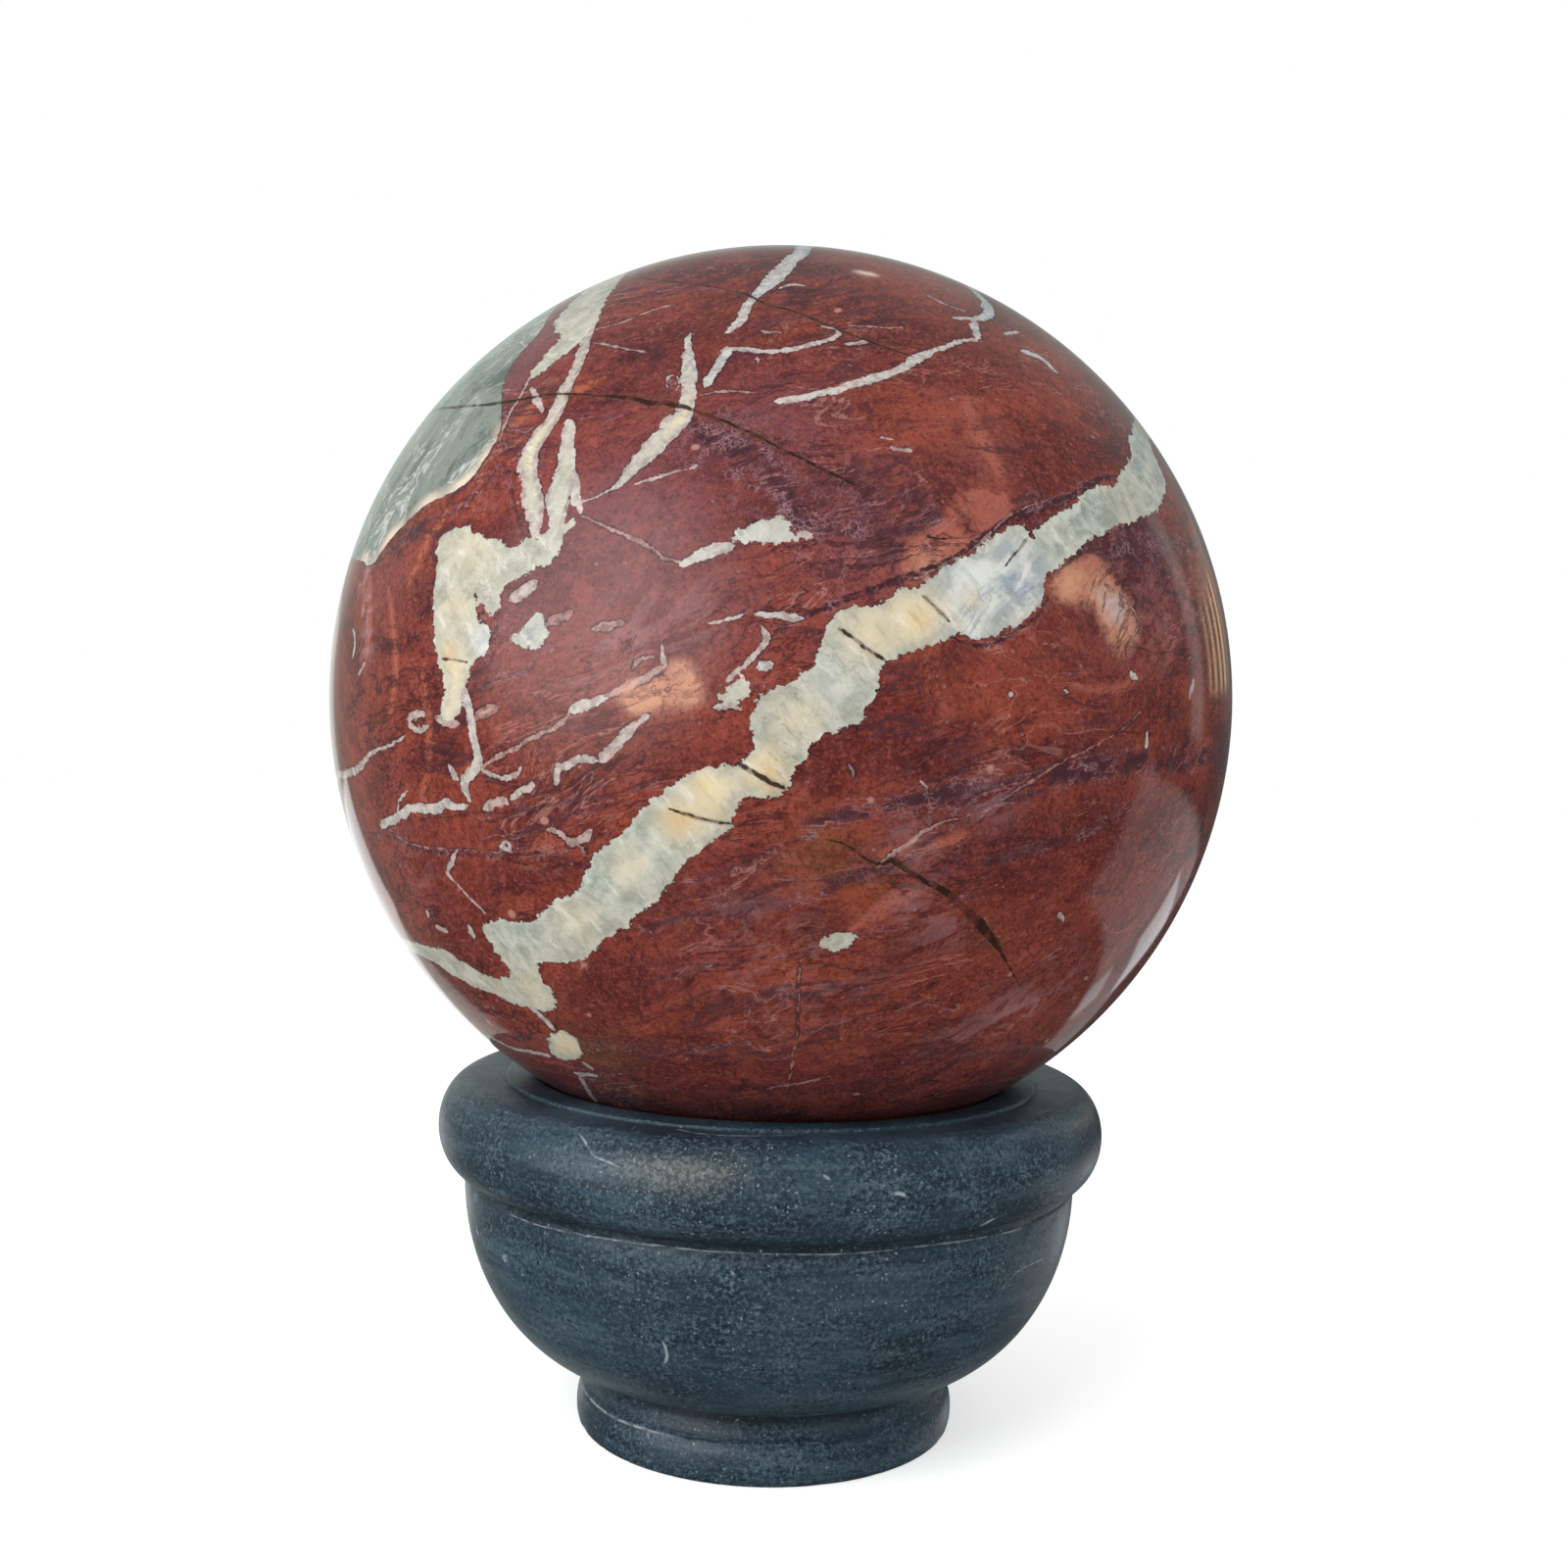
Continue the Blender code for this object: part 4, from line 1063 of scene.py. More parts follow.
def redMarble():
    ink = inksOf(marble)
    material = bpy.data.materials.new("red marble")
    material.use_nodes = True
    tree = material.node_tree
    shader = tree.nodes["Principled BSDF"]
    place = addNode(tree, "TexCoord").outputs["Object"]

    # coordinates that follow the bedding, gently bent
    bend = vectorSums(tree, "SCALE", vectorSums(
        tree, "SUBTRACT", clouds(tree, place, 9.0, 3.0, 0.5, colour=True), (0.5, 0.5, 0.5)))
    bend.node.inputs["Scale"].default_value = 0.045
    bent = vectorSums(tree, "ADD", place, bend)
    layered = stretched(tree, bent, marble["beddingTilt"], 0.22, 0.4, 1.0)

    # uneven edges for everything that is laid on by fields
    coarse = addNode(tree, "SeparateColor", {"Color": clouds(tree, place, 95.0, 3.0, 0.6, colour=True)})
    fine = addNode(tree, "SeparateColor", {"Color": clouds(tree, place, 420.0, 4.0, 0.7, colour=True)})
    coarseA = sums(tree, "SUBTRACT", coarse.outputs[0], 0.5)
    coarseB = sums(tree, "SUBTRACT", coarse.outputs[1], 0.5)
    coarseC = coarse.outputs[2]
    fineA = sums(tree, "SUBTRACT", fine.outputs[0], 0.5)
    fineB = sums(tree, "SUBTRACT", fine.outputs[1], 0.5)
    edge = sums(tree, "MULTIPLY_ADD", coarseA, 2.6, times(tree, fineA, 3.4))
    drift = sums(tree, "MULTIPLY_ADD", coarseB, 2.4, times(tree, fineB, 1.6))
    swell = sums(tree, "MULTIPLY_ADD", coarseA, 0.7, times(tree, fineA, 2.2))
    thickness = sums(tree, "MULTIPLY_ADD", coarseC, 1.2, sums(tree, "MULTIPLY_ADD", fineB, 0.9, 0.42))

    # ground colour in broad clouds and beds
    grain = useGroup(tree, grainGroup, Vector=bent, Broad=22.0, Fine=520.0)
    layers = useGroup(tree, grainGroup, Vector=layered, Broad=60.0, Fine=420.0)
    mauve, salmon, dark = attributeParts(tree, "tintA")
    orange, olive, fleck = attributeParts(tree, "tintB")
    cream, ochre, blue = attributeParts(tree, "tintC")
    grey, peach, haze = attributeParts(tree, "tintD")
    ground = mixColour(tree, softStep(tree, grain.outputs["Clouds"], 0.35, 0.62),
                       ink["brickDark"], ink["brick"])
    ground = mixColour(tree, softStep(tree, layers.outputs["Clouds"], 0.50, 0.58, 0.0, 0.6), ground,
                       ink["brickBright"])
    blotch = clouds(tree, bent, 46.0, 5.0, 0.55, 0.4)
    ground = mixColour(tree, softStep(tree, blotch, 0.53, 0.60, 0.0, 0.5), ground, ink["brickBright"])
    ground = mixColour(tree, softStep(tree, blotch, 0.45, 0.38, 0.0, 0.6), ground, ink["brickDark"])
    ground = mixColour(tree, times(tree, orange, softStep(tree, layers.outputs["Clouds"], 0.34, 0.6)),
                       ground, ink["orange"])
    mauveShare = times(tree, mauve, softStep(tree, grain.outputs["Clouds"], 0.3, 0.6, 0.5, 0.95))
    ground = mixColour(tree, mauveShare, ground, ink["mauve"])
    beds = softStep(tree, clouds(tree, layered, 34.0, 6.0, 0.62, 0.6), 0.54, 0.7, 0.0, 0.6)
    ground = mixColour(tree, beds, ground, ink["purple"])
    ground = mixColour(tree, times(tree, dark, softStep(
        tree, layers.outputs["Grain"], 0.3, 0.6, 0.3, 0.9)), ground, ink["purple"])

    # salmon and peach areas
    outlinePale, outlineGreen, outlineSalmon = attributeParts(tree, "outlines")
    salmonDepth = sums(tree, "MULTIPLY_ADD", edge, 1.7, outlineSalmon)
    ground = mixColour(tree, times(tree, salmon, 0.7), ground, ink["salmon"])
    ground = mixColour(tree, softStep(tree, salmonDepth, -0.8, 1.6, 0.0, 0.7), ground, ink["salmon"])
    streakDepth, streakTone = threadFields(tree, "streak", threadCounts["streak"], drift, swell, thickness)
    streakColour = mixColour(tree, streakTone, ink["apricot"], ink["salmon"])
    ground = mixColour(tree, softStep(tree, streakDepth, -1.6, 1.2, 0.0, 0.8), ground, streakColour)
    peachPlace = times(tree, peach, softStep(tree, salmonDepth, -4.0, 2.4), clamp=True)
    peachShare = times(tree, peachPlace, softStep(tree, layers.outputs["Grain"], 0.36, 0.6, 0.5, 1.0))
    ground = mixColour(tree, peachShare, ground, ink["peach"])
    ground = mixColour(tree, times(tree, olive, softStep(tree, layers.outputs["Grain"], 0.3, 0.6)),
                       ground, ink["olive"])

    # mottling and grain
    mottle = clouds(tree, bent, 130.0, 5.0, 0.6, 0.4)
    ground = mixColour(tree, softStep(tree, mottle, 0.46, 0.30, 0.0, 0.5), ground, ink["crumbDark"])
    ground = mixColour(tree, softStep(tree, mottle, 0.54, 0.70, 0.0, 0.5), ground, ink["crumbLight"])
    jolt = vectorSums(tree, "SCALE", clouds(tree, place, 500.0, 2.0, 0.6, colour=True))
    jolt.node.inputs["Scale"].default_value = 0.0022
    jolted = vectorSums(tree, "ADD", bent, jolt)
    crumbs = cells(tree, jolted, 240.0, "DISTANCE_TO_EDGE").outputs["Distance"]
    crumbShare = times(tree, softStep(tree, crumbs, 0.08, 0.02),
                       patches(tree, place, 34.0, 0.5, 0.64, 0.5))
    ground = mixColour(tree, crumbShare, ground, ink["crumbDark"])
    ground = mixColour(tree, softStep(tree, grain.outputs["Grain"], 0.53, 0.66, 0.0, 0.4), ground,
                       ink["crumbLight"])
    ground = mixColour(tree, softStep(tree, grain.outputs["Grain"], 0.46, 0.34, 0.0, 0.5), ground,
                       ink["crumbDark"])
    dust = clouds(tree, place, 1000.0, 3.0, 0.7)
    ground = mixColour(tree, softStep(tree, dust, 0.53, 0.66, 0.0, 0.5), ground, ink["crumbLight"])
    ground = mixColour(tree, softStep(tree, dust, 0.46, 0.34, 0.0, 0.65), ground, ink["crumbDark"])
    overVein = softStep(tree, salmonDepth, -0.3, 0.9)
    ground = mixColour(tree, times(tree, overVein, softStep(
        tree, mottle, 0.36, 0.56, 0.15, 0.6)), ground, ink["salmon"])
    peachShare = times(tree, peachShare, softStep(tree, mottle, 0.38, 0.52, 0.35, 1.0))
    ground = mixColour(tree, peachShare, ground, ink["peach"])
    ground = mixColour(tree, times(tree, peachShare, cream, clamp=True), ground, ink["peachMilk"])
    ground = mixColour(tree, times(tree, mauve, 0.34, clamp=True), ground, ink["mauve"])

    # dark seams and pale threads along the beds
    seamsWide = times(tree, ridges(tree, layered, 48.0, 0.030, 6.0, 0.62, 0.5),
                      patches(tree, bent, 15.0, 0.46, 0.60, 0.75))
    plain = sums(tree, "MULTIPLY_ADD", overVein, -0.9, 1.0)
    ground = mixColour(tree, times(tree, seamsWide, plain), ground, ink["purple"])
    seamsFine = times(tree, ridges(tree, layered, 120.0, 0.030, 5.0, 0.62, 0.6),
                      patches(tree, place, 26.0, 0.44, 0.60, 0.7))
    ground = mixColour(tree, seamsFine, ground, ink["seamFine"])
    slanting = stretched(tree, bent, 30.0, 0.4, 0.6, 1.0)
    crazed = times(tree, ridges(tree, slanting, 90.0, 0.011, 6.0, 0.62, 0.8, 0.51),
                   patches(tree, bent, 24.0, 0.42, 0.56, 0.8))
    ground = mixColour(tree, crazed, ground, ink["crazing"])
    paleLines = times(tree, ridges(tree, layered, 72.0, 0.010, 6.0, 0.6, 0.7, 0.53),
                      patches(tree, bent, 20.0, 0.5, 0.64, 0.38))
    ground = mixColour(tree, paleLines, ground, ink["pink"])
    steep = stretched(tree, bent, 68.0, 0.35, 0.6, 1.0)
    hairs = times(tree, ridges(tree, steep, 40.0, 0.006, 6.0, 0.62, 0.4, 0.48),
                  patches(tree, place, 17.0, 0.56, 0.68, 0.28))
    ground = mixColour(tree, hairs, ground, ink["pink"])

    # purple seams, frayed
    seamDepth, crisp = threadFields(tree, "seam", threadCounts["seam"], drift, times(
        tree, swell, 1.3), thickness)
    strands = clouds(tree, stretched(tree, bent, 17.0, 0.16, 0.5, 1.0), 260.0, 6.0, 0.62, 0.7)
    seamShare = times(tree, softStep(tree, seamDepth, -1.8, 2.2, 0.0, 0.95),
                      softStep(tree, strands, 0.42, 0.54, 0.12, 1.0))
    ground = mixColour(tree, times(tree, seamShare, sums(tree, "SUBTRACT", 1.0, crisp)), ground,
                       ink["purple"])
    crispShare = times(tree, softStep(tree, seamDepth, -0.25, 0.3), softStep(
        tree, fine.outputs[2], 0.36, 0.5, 0.35, 0.95))
    ground = mixColour(tree, times(tree, crispShare, crisp), ground, ink["seamCrisp"])
    alongSeam = times(tree, softStep(tree, sums(tree, "ABSOLUTE", sums(
        tree, "SUBTRACT", strands, 0.47)), 0.014, 0.003), softStep(tree, seamDepth, -2.6, 0.5, 0.0, 0.75))
    ground = mixColour(tree, times(tree, alongSeam, patches(tree, place, 90.0, 0.42, 0.58)), ground,
                       ink["lilac"])

    # lilac squiggles and flecks in the purple places
    squiggle = ridges(tree, bent, 170.0, 0.024, 4.0, 0.6, 1.6)
    network = cells(tree, jolted, 430.0, "DISTANCE_TO_EDGE").outputs["Distance"]
    squiggleFine = softStep(tree, network, 0.07, 0.02)
    darkSquiggle = ridges(tree, bent, 150.0, 0.045, 4.0, 0.6, 1.8, 0.44)
    broken = patches(tree, place, 200.0, 0.44, 0.58)
    frayed = sums(tree, "MULTIPLY_ADD", softStep(tree, seamDepth, -1.6, 0.2), 0.22, fleck, clamp=True)
    frayed = times(tree, frayed, plain)
    ground = mixColour(tree, times(tree, darkSquiggle, sums(tree, "MULTIPLY_ADD", frayed, 0.6, 0.12)),
                       ground, ink["squiggle"])
    flecks = times(tree, sums(tree, "MAXIMUM", squiggle, squiggleFine), broken)
    flecks = times(tree, flecks, sums(tree, "MULTIPLY_ADD", frayed, 0.6, 0.04))
    ground = mixColour(tree, flecks, ground, ink["lilac"])
    shaken = vectorSums(tree, "ADD", bent, vectorSums(tree, "MULTIPLY", jolt, (2.4, 2.4, 2.4)))
    shells = useGroup(tree, speckGroup, Vector=shaken, Scale=72.0, Size=0.11, Share=0.11)
    ground = mixColour(tree, times(tree, shells.outputs["Mask"], 0.6), ground, ink["pink"])
    specks = useGroup(tree, speckGroup, Vector=bent, Scale=150.0, Size=0.2, Share=0.035)
    ground = mixColour(tree, times(tree, specks.outputs["Mask"], 0.6), ground, ink["pink"])
    grit = useGroup(tree, speckGroup, Vector=bent, Scale=460.0, Size=0.24, Share=0.07)
    ground = mixColour(tree, times(tree, grit.outputs["Mask"], 0.45), ground, ink["lilac"])
    hazeCloud = clouds(tree, stretched(tree, bent, 30.0, 0.3, 0.6, 1.0), 210.0, 6.0, 0.68, 0.8)
    hazeShare = times(tree, haze, softStep(tree, hazeCloud, 0.45, 0.58, 0.0, 0.85))
    ground = mixColour(tree, hazeShare, ground, ink["hazePink"])

    # grey-green patch with a peach rim
    greenDepth = sums(tree, "MULTIPLY_ADD", edge, 0.6, outlineGreen)
    veining = stretched(tree, bent, 40.0, 0.35, 0.6, 1.0)
    streaks = clouds(tree, veining, 120.0, 6.0, 0.66, 0.5)
    green = mixColour(tree, softStep(tree, streaks, 0.34, 0.5), ink["greenDark"], ink["green"])
    green = mixColour(tree, softStep(tree, streaks, 0.54, 0.7, 0.0, 0.7), green, ink["greenLight"])
    green = mixColour(tree, times(tree, ridges(tree, veining, 46.0, 0.016, 6.0, 0.6, 0.5), 0.6), green,
                      ink["greenSeam"])
    green = mixColour(tree, times(tree, ridges(tree, bent, 60.0, 0.010, 6.0, 0.62, 1.0, 0.47), 0.7), green,
                      ink["greenHairline"])
    green = mixColour(tree, times(tree, ridges(tree, veining, 70.0, 0.014, 5.0, 0.6, 0.8, 0.55), 0.7),
                      green, ink["greenThread"])
    rimShare = times(tree, cream, softStep(tree, greenDepth, 5.5, 1.5), clamp=True)
    rim = mixColour(tree, rimShare, green, ink["greenRim"])
    ground = mixColour(tree, softStep(tree, greenDepth, -0.5, -0.1, 0.0, 0.6), ground, ink["greenMargin"])
    ground = mixColour(tree, softStep(tree, greenDepth, -0.12, 0.12), ground, rim)

    # pale veins: cream-white, or grey-green with a lighter rim and a broken warm core
    threadAt, tone = threadFields(tree, "pale", threadCounts["pale"], drift, swell, thickness)
    outlineAt = sums(tree, "ADD", outlinePale, sums(tree, "MULTIPLY_ADD", fineA, 2.2, edge))
    paleAt = sums(tree, "MAXIMUM", threadAt, outlineAt)
    fibres = clouds(tree, stretched(tree, place, -48.0, 0.30, 0.6, 1.0), 330.0, 4.0, 0.6)
    mist = clouds(tree, place, 62.0, 5.0, 0.6)
    curd = clouds(tree, place, 190.0, 5.0, 0.68, 0.5)
    inner = sums(tree, "MULTIPLY_ADD", sums(tree, "SUBTRACT", mist, 0.5), 9.0, sums(
        tree, "MULTIPLY_ADD", sums(tree, "SUBTRACT", fibres, 0.5), 4.0, paleAt))
    pale = mixColour(tree, softStep(tree, curd, 0.36, 0.62), ink["veinWarm"],
                     ink["veinWarmLight"])
    greyVein = mixColour(tree, softStep(tree, curd, 0.36, 0.64), ink["veinGrey"],
                         ink["veinGreyLight"])
    greyVein = mixColour(tree, softStep(tree, inner, 1.9, 0.3, 0.0, 0.8), greyVein, ink["veinRim"])
    greyVein = mixColour(tree, softStep(tree, inner, 5.0, 9.5, 0.0, 0.85), greyVein, ink["veinCore"])
    pale = mixColour(tree, grey, pale, greyVein)
    creamShare = times(tree, cream, softStep(tree, inner, 0.0, 3.4, 0.3, 1.0))
    pale = mixColour(tree, creamShare, pale, ink["veinCream"])
    ochreShare = times(tree, ochre, softStep(tree, mist, 0.4, 0.62))
    pale = mixColour(tree, ochreShare, pale, ink["veinOchre"])
    bands = clouds(tree, stretched(tree, bent, 50.0, 0.12, 0.5, 1.0), 210.0, 5.0, 0.6, 0.3)
    blueLight = mixColour(tree, softStep(tree, bands, 0.38, 0.58), ink["veinBlue"],
                          ink["veinBlueLight"])
    blueShare = times(tree, blue, sums(tree, "MULTIPLY_ADD", cream, -0.8, 1.0), clamp=True)
    pale = mixColour(tree, blueShare, pale, blueLight)
    pale = mixColour(tree, softStep(tree, fibres, 0.46, 0.28, 0.0, 0.35), pale, ink["fibreDark"])
    pale = mixColour(tree, softStep(tree, fibres, 0.55, 0.74, 0.0, 0.45), pale, ink["fibreLight"])
    falling = stretched(tree, bent, -40.0, 0.5, 0.7, 1.0)
    veinCracks = times(tree, ridges(tree, falling, 150.0, 0.016, 5.0, 0.6, 0.9),
                       patches(tree, place, 70.0, 0.44, 0.58, 0.5))
    pale = mixColour(tree, veinCracks, pale, ink["veinCrack"])
    lobeBands = ridges(tree, stretched(tree, place, 52.0, 0.09, 0.4, 1.0), 130.0, 0.03, 4.0, 0.6, 0.1)
    lobeBands = times(tree, lobeBands, softStep(tree, mist, 0.36, 0.6, 0.1, 0.8))
    pale = mixColour(tree, times(tree, lobeBands, blueShare, clamp=True), pale, ink["lobeBand"])
    isThread = softStep(tree, sums(tree, "SUBTRACT", threadAt, outlineAt), -0.4, 0.6)
    threadColour = mixColour(tree, tone, ink["white"], ink["pink"])
    threadColour = mixColour(tree, times(tree, blue, 0.8), threadColour, ink["threadBlue"])
    threadColour = mixColour(tree, softStep(tree, curd, 0.5, 0.34, 0.0, 0.5), threadColour,
                             ink["threadShade"])
    narrow = times(tree, isThread, softStep(tree, threadAt, 2.4, 0.8))
    pale = mixColour(tree, narrow, pale, threadColour)
    margin = times(tree, softStep(tree, paleAt, -0.7, -0.1), softStep(
        tree, coarseC, 0.4, 0.52, 0.0, 0.85))
    ground = mixColour(tree, margin, ground, ink["seamCrisp"])
    faint = times(tree, narrow, sums(tree, "MULTIPLY_ADD", tone, 0.4, softStep(
        tree, fine.outputs[2], 0.58, 0.4, 0.0, 0.4)), clamp=True)
    paleShare = times(tree, softStep(tree, paleAt, -0.14, 0.16), sums(tree, "SUBTRACT", 1.0, faint))
    surface = mixColour(tree, paleShare, ground, pale)

    # brown cracks over everything
    crackDepth = threadFields(tree, "crack", threadCounts["crack"], times(tree, drift, 0.4),
                              times(tree, swell, 0.55), thickness)[0]
    crackGap = patches(tree, place, 240.0, 0.42, 0.52)
    crackShare = times(tree, softStep(tree, crackDepth, -0.2, 0.12), sums(
        tree, "MULTIPLY_ADD", crackGap, 0.45, 0.5))
    stain = times(tree, softStep(tree, crackDepth, -0.9, 0.1),
                  patches(tree, place, 60.0, 0.40, 0.58, 0.4))
    surface = mixColour(tree, stain, surface, ink["stain"])
    surface = mixColour(tree, crackShare, surface, ink["rust"])

    feed(tree, surface, shader.inputs["Base Color"])
    polish = useGroup(tree, polishGroup, Vector=place, Gloss=marble["gloss"], Smears=0.05, Pits=0.02)
    feed(tree, polish.outputs["Roughness"], shader.inputs["Roughness"])
    bump = addNode(tree, "Bump", {
        "Height": sums(tree, "SUBTRACT", 1.0, crackShare), "Strength": 0.10, "Distance": 0.0003})
    feed(tree, bump.outputs["Normal"], shader.inputs["Normal"])
    shader.inputs["IOR"].default_value = 1.5
    return material


def placePiece(name, mesh, middle, nodeName, material):
    mesh.materials.append(material)
    piece = bpy.data.objects.new(name, mesh)
    piece.location = middle
    bpy.context.scene.collection.objects.link(piece)
    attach(piece, "root")
    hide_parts(nodeName)


placePiece("marble-sphere", sphereMesh, sphereMiddle, "sphere", redMarble())
print("marble sphere made")

# Stand: the turned profile in metres, the same sizes as the solid it replaces
stand = {
    "seatRadius": 0.0806,
    "seatClearance": 0.0004,
    "lipWidth": 0.0098,
    "lipStep": 0.0011,
    "beadCrownWidth": 0.0110,
    "beadCrownRise": 0.0006,
    "beadReach": 0.0110,
    "beadHeight": 0.0302,
    "beadOverhang": 0.0090,
    "filletHeight": 0.0024,
    "bowlHeight": 0.0624,
    "bowlInset": 0.0076,
    "bowlFullness": 0.95,
    "neckRadius": 0.0600,
    "neckBandHeight": 0.0025,
    "neckFlareHeight": 0.0063,
    "neckFlareWidth": 0.0023,
    "neckFlareTurn": math.radians(75),
    "footSwellHeight": 0.0080,
    "footSwellWidth": 0.0019,
    "footSwellTurn": math.radians(50),
    "footUndercutHeight": 0.0028,
    "footBevelHeight": 0.0022,
    "footBevelWidth": 0.0006,
    "segments": 360,
    "softEdge": 0.0005,      # radius worn onto each arris
    "chipDepth": 0.0007,
    "chipFrom": 0.25,        # wear from which a row has chips
    "chips": ((160, 0.18, 2.2), (520, 0.25, 0.7)),   # noise scale, least level and share of the depth
}


def ellipseArc(middle, reach, rise, first, last, steps):
    # rows of an upright ellipse: radius, height and wear
    turns = np.linspace(first, last, steps + 1)
    return [(middle[0] + reach * math.cos(t), middle[1] + rise * math.sin(t), 0.0) for t in turns]


def standRows():
    s = stand
    quarter = math.pi / 2
    widestFoot = s["footBevelHeight"] + s["footUndercutHeight"]
    footTop = widestFoot + s["footSwellHeight"]
    flareTop = footTop + s["neckFlareHeight"]
    neckTop = flareTop + s["neckBandHeight"]
    ridgeHeight = neckTop + s["bowlHeight"]
    filletTop = ridgeHeight + s["filletHeight"]
    beadTop = filletTop + s["beadHeight"]
    stepFoot = beadTop - s["beadCrownRise"]
    lipHeight = stepFoot + s["lipStep"]
    lipEdge = s["seatRadius"] + s["lipWidth"]
    crownRadius = lipEdge + s["beadCrownWidth"]
    rimRadius = crownRadius + s["beadReach"]
    ridgeRadius = rimRadius - s["beadOverhang"]
    dishRadius = sphereRadius + s["seatClearance"]
    seatAngle = math.asin(s["seatRadius"] / dishRadius)
    middleHeight = lipHeight + dishRadius * math.cos(seatAngle)
    soft = s["softEdge"]

    # dish, out from the axis
    rows = [(dishRadius * math.sin(a), middleHeight - dishRadius * math.cos(a), 0.0)
            for a in np.linspace(0, seatAngle - soft / dishRadius, 26)]
    rows[0] = (0.0, rows[0][1], 0.0)
    # flat lip with a scuffed outer arris
    rows += [(s["seatRadius"] + soft * 0.6, lipHeight - 0.00003, 0.3)]
    rows += [(r, lipHeight, 0.0) for r in np.linspace(s["seatRadius"] + 0.001, lipEdge - 3 * soft, 8)]
    for t in np.linspace(0, quarter, 5):
        rows.append((lipEdge - soft + soft * math.sin(t), lipHeight - soft + soft * math.cos(t), 0.5))
    rows += [(lipEdge + 0.00005, stepFoot + 0.0002, 0.2), (lipEdge + 0.0004, stepFoot, 0.0)]
    crown = ellipseArc((crownRadius, stepFoot), -s["beadCrownWidth"], s["beadCrownRise"], 0.15, quarter, 9)
    rows += crown[:-1]
    half = s["beadHeight"] / 2
    lowest = -math.acos(1 - s["beadOverhang"] / s["beadReach"])
    rows += ellipseArc((crownRadius, filletTop + half), s["beadReach"], half, quarter, lowest, 44)
    # hollow under the bead, with a scuffed ridge
    rows += [
        (ridgeRadius - 0.0001, filletTop - 0.0006, 0.0), (ridgeRadius - 0.0002, ridgeHeight + 0.0010, 0.2),
        (ridgeRadius - 0.0001, ridgeHeight + 0.0005, 0.7), (ridgeRadius, ridgeHeight + 0.0001, 1.0)]
    # bowl
    inner = s["neckRadius"] - s["bowlInset"]
    reach = ridgeRadius - inner
    end = math.acos((s["bowlInset"] / reach) ** (1 / s["bowlFullness"]))
    fall = s["bowlHeight"] / math.sin(end)
    fineThenEven = np.concatenate((np.linspace(0, 0.06, 6)[1:], np.linspace(0.06, end, 66)[1:]))
    for step, a in enumerate(fineThenEven):
        wear = max(0.0, 1 - step / 3) * 0.8
        radius = inner + reach * math.cos(a) ** s["bowlFullness"]
        rows.append((radius, ridgeHeight - fall * math.sin(a), wear))
    # neck
    rows += [(s["neckRadius"] + 0.00002, h, 0.0) for h in np.linspace(neckTop - 0.0004, flareTop, 7)]
    flareReach = s["neckFlareWidth"] / (1 - math.cos(s["neckFlareTurn"]))
    flareRise = s["neckFlareHeight"] / math.sin(s["neckFlareTurn"])
    flareMiddle = (s["neckRadius"] + flareReach, flareTop)
    flare = ellipseArc(flareMiddle, -flareReach, -flareRise, 0, s["neckFlareTurn"], 16)
    rows += flare[1:-2]
    # foot ring with a scuffed top arris and a chipped bevel
    swellReach = s["footSwellWidth"] / (1 - math.cos(s["footSwellTurn"]))
    swellRise = s["footSwellHeight"] / math.sin(s["footSwellTurn"])
    swellMiddle = (s["neckRadius"] + s["neckFlareWidth"] + s["footSwellWidth"] - swellReach, widestFoot)
    lowestFoot = -math.asin(s["footUndercutHeight"] / swellRise)
    arris = ellipseArc(swellMiddle, swellReach, swellRise, s["footSwellTurn"], lowestFoot, 34)
    rows.append((arris[0][0] - 0.0004, arris[0][1] + 0.00022, 0.6))
    rows.append((arris[0][0] - 0.0001, arris[0][1] - 0.00002, 1.0))
    rows += [(r, z, max(0.0, 1 - 0.5 * number)) for number, (r, z, _) in enumerate(arris[1:-1])]
    rows.append((arris[-1][0] - 0.00004, arris[-1][1], 1.0))
    outer = arris[-1][0]
    rows += [(outer - s["footBevelWidth"] * t, s["footBevelHeight"] * (1 - t), 0.8 - 0.5 * t)
             for t in (0.1, 0.3, 0.6, 0.85)]
    bottom = outer - s["footBevelWidth"]
    rows += [(bottom - 0.0001, 0.0001, 0.8), (bottom - 0.0004, 0.0, 0.3)]
    rows += [(r, 0.0, 0.0) for r in np.linspace(outer - 0.003, 0.0, 14)]
    return rows


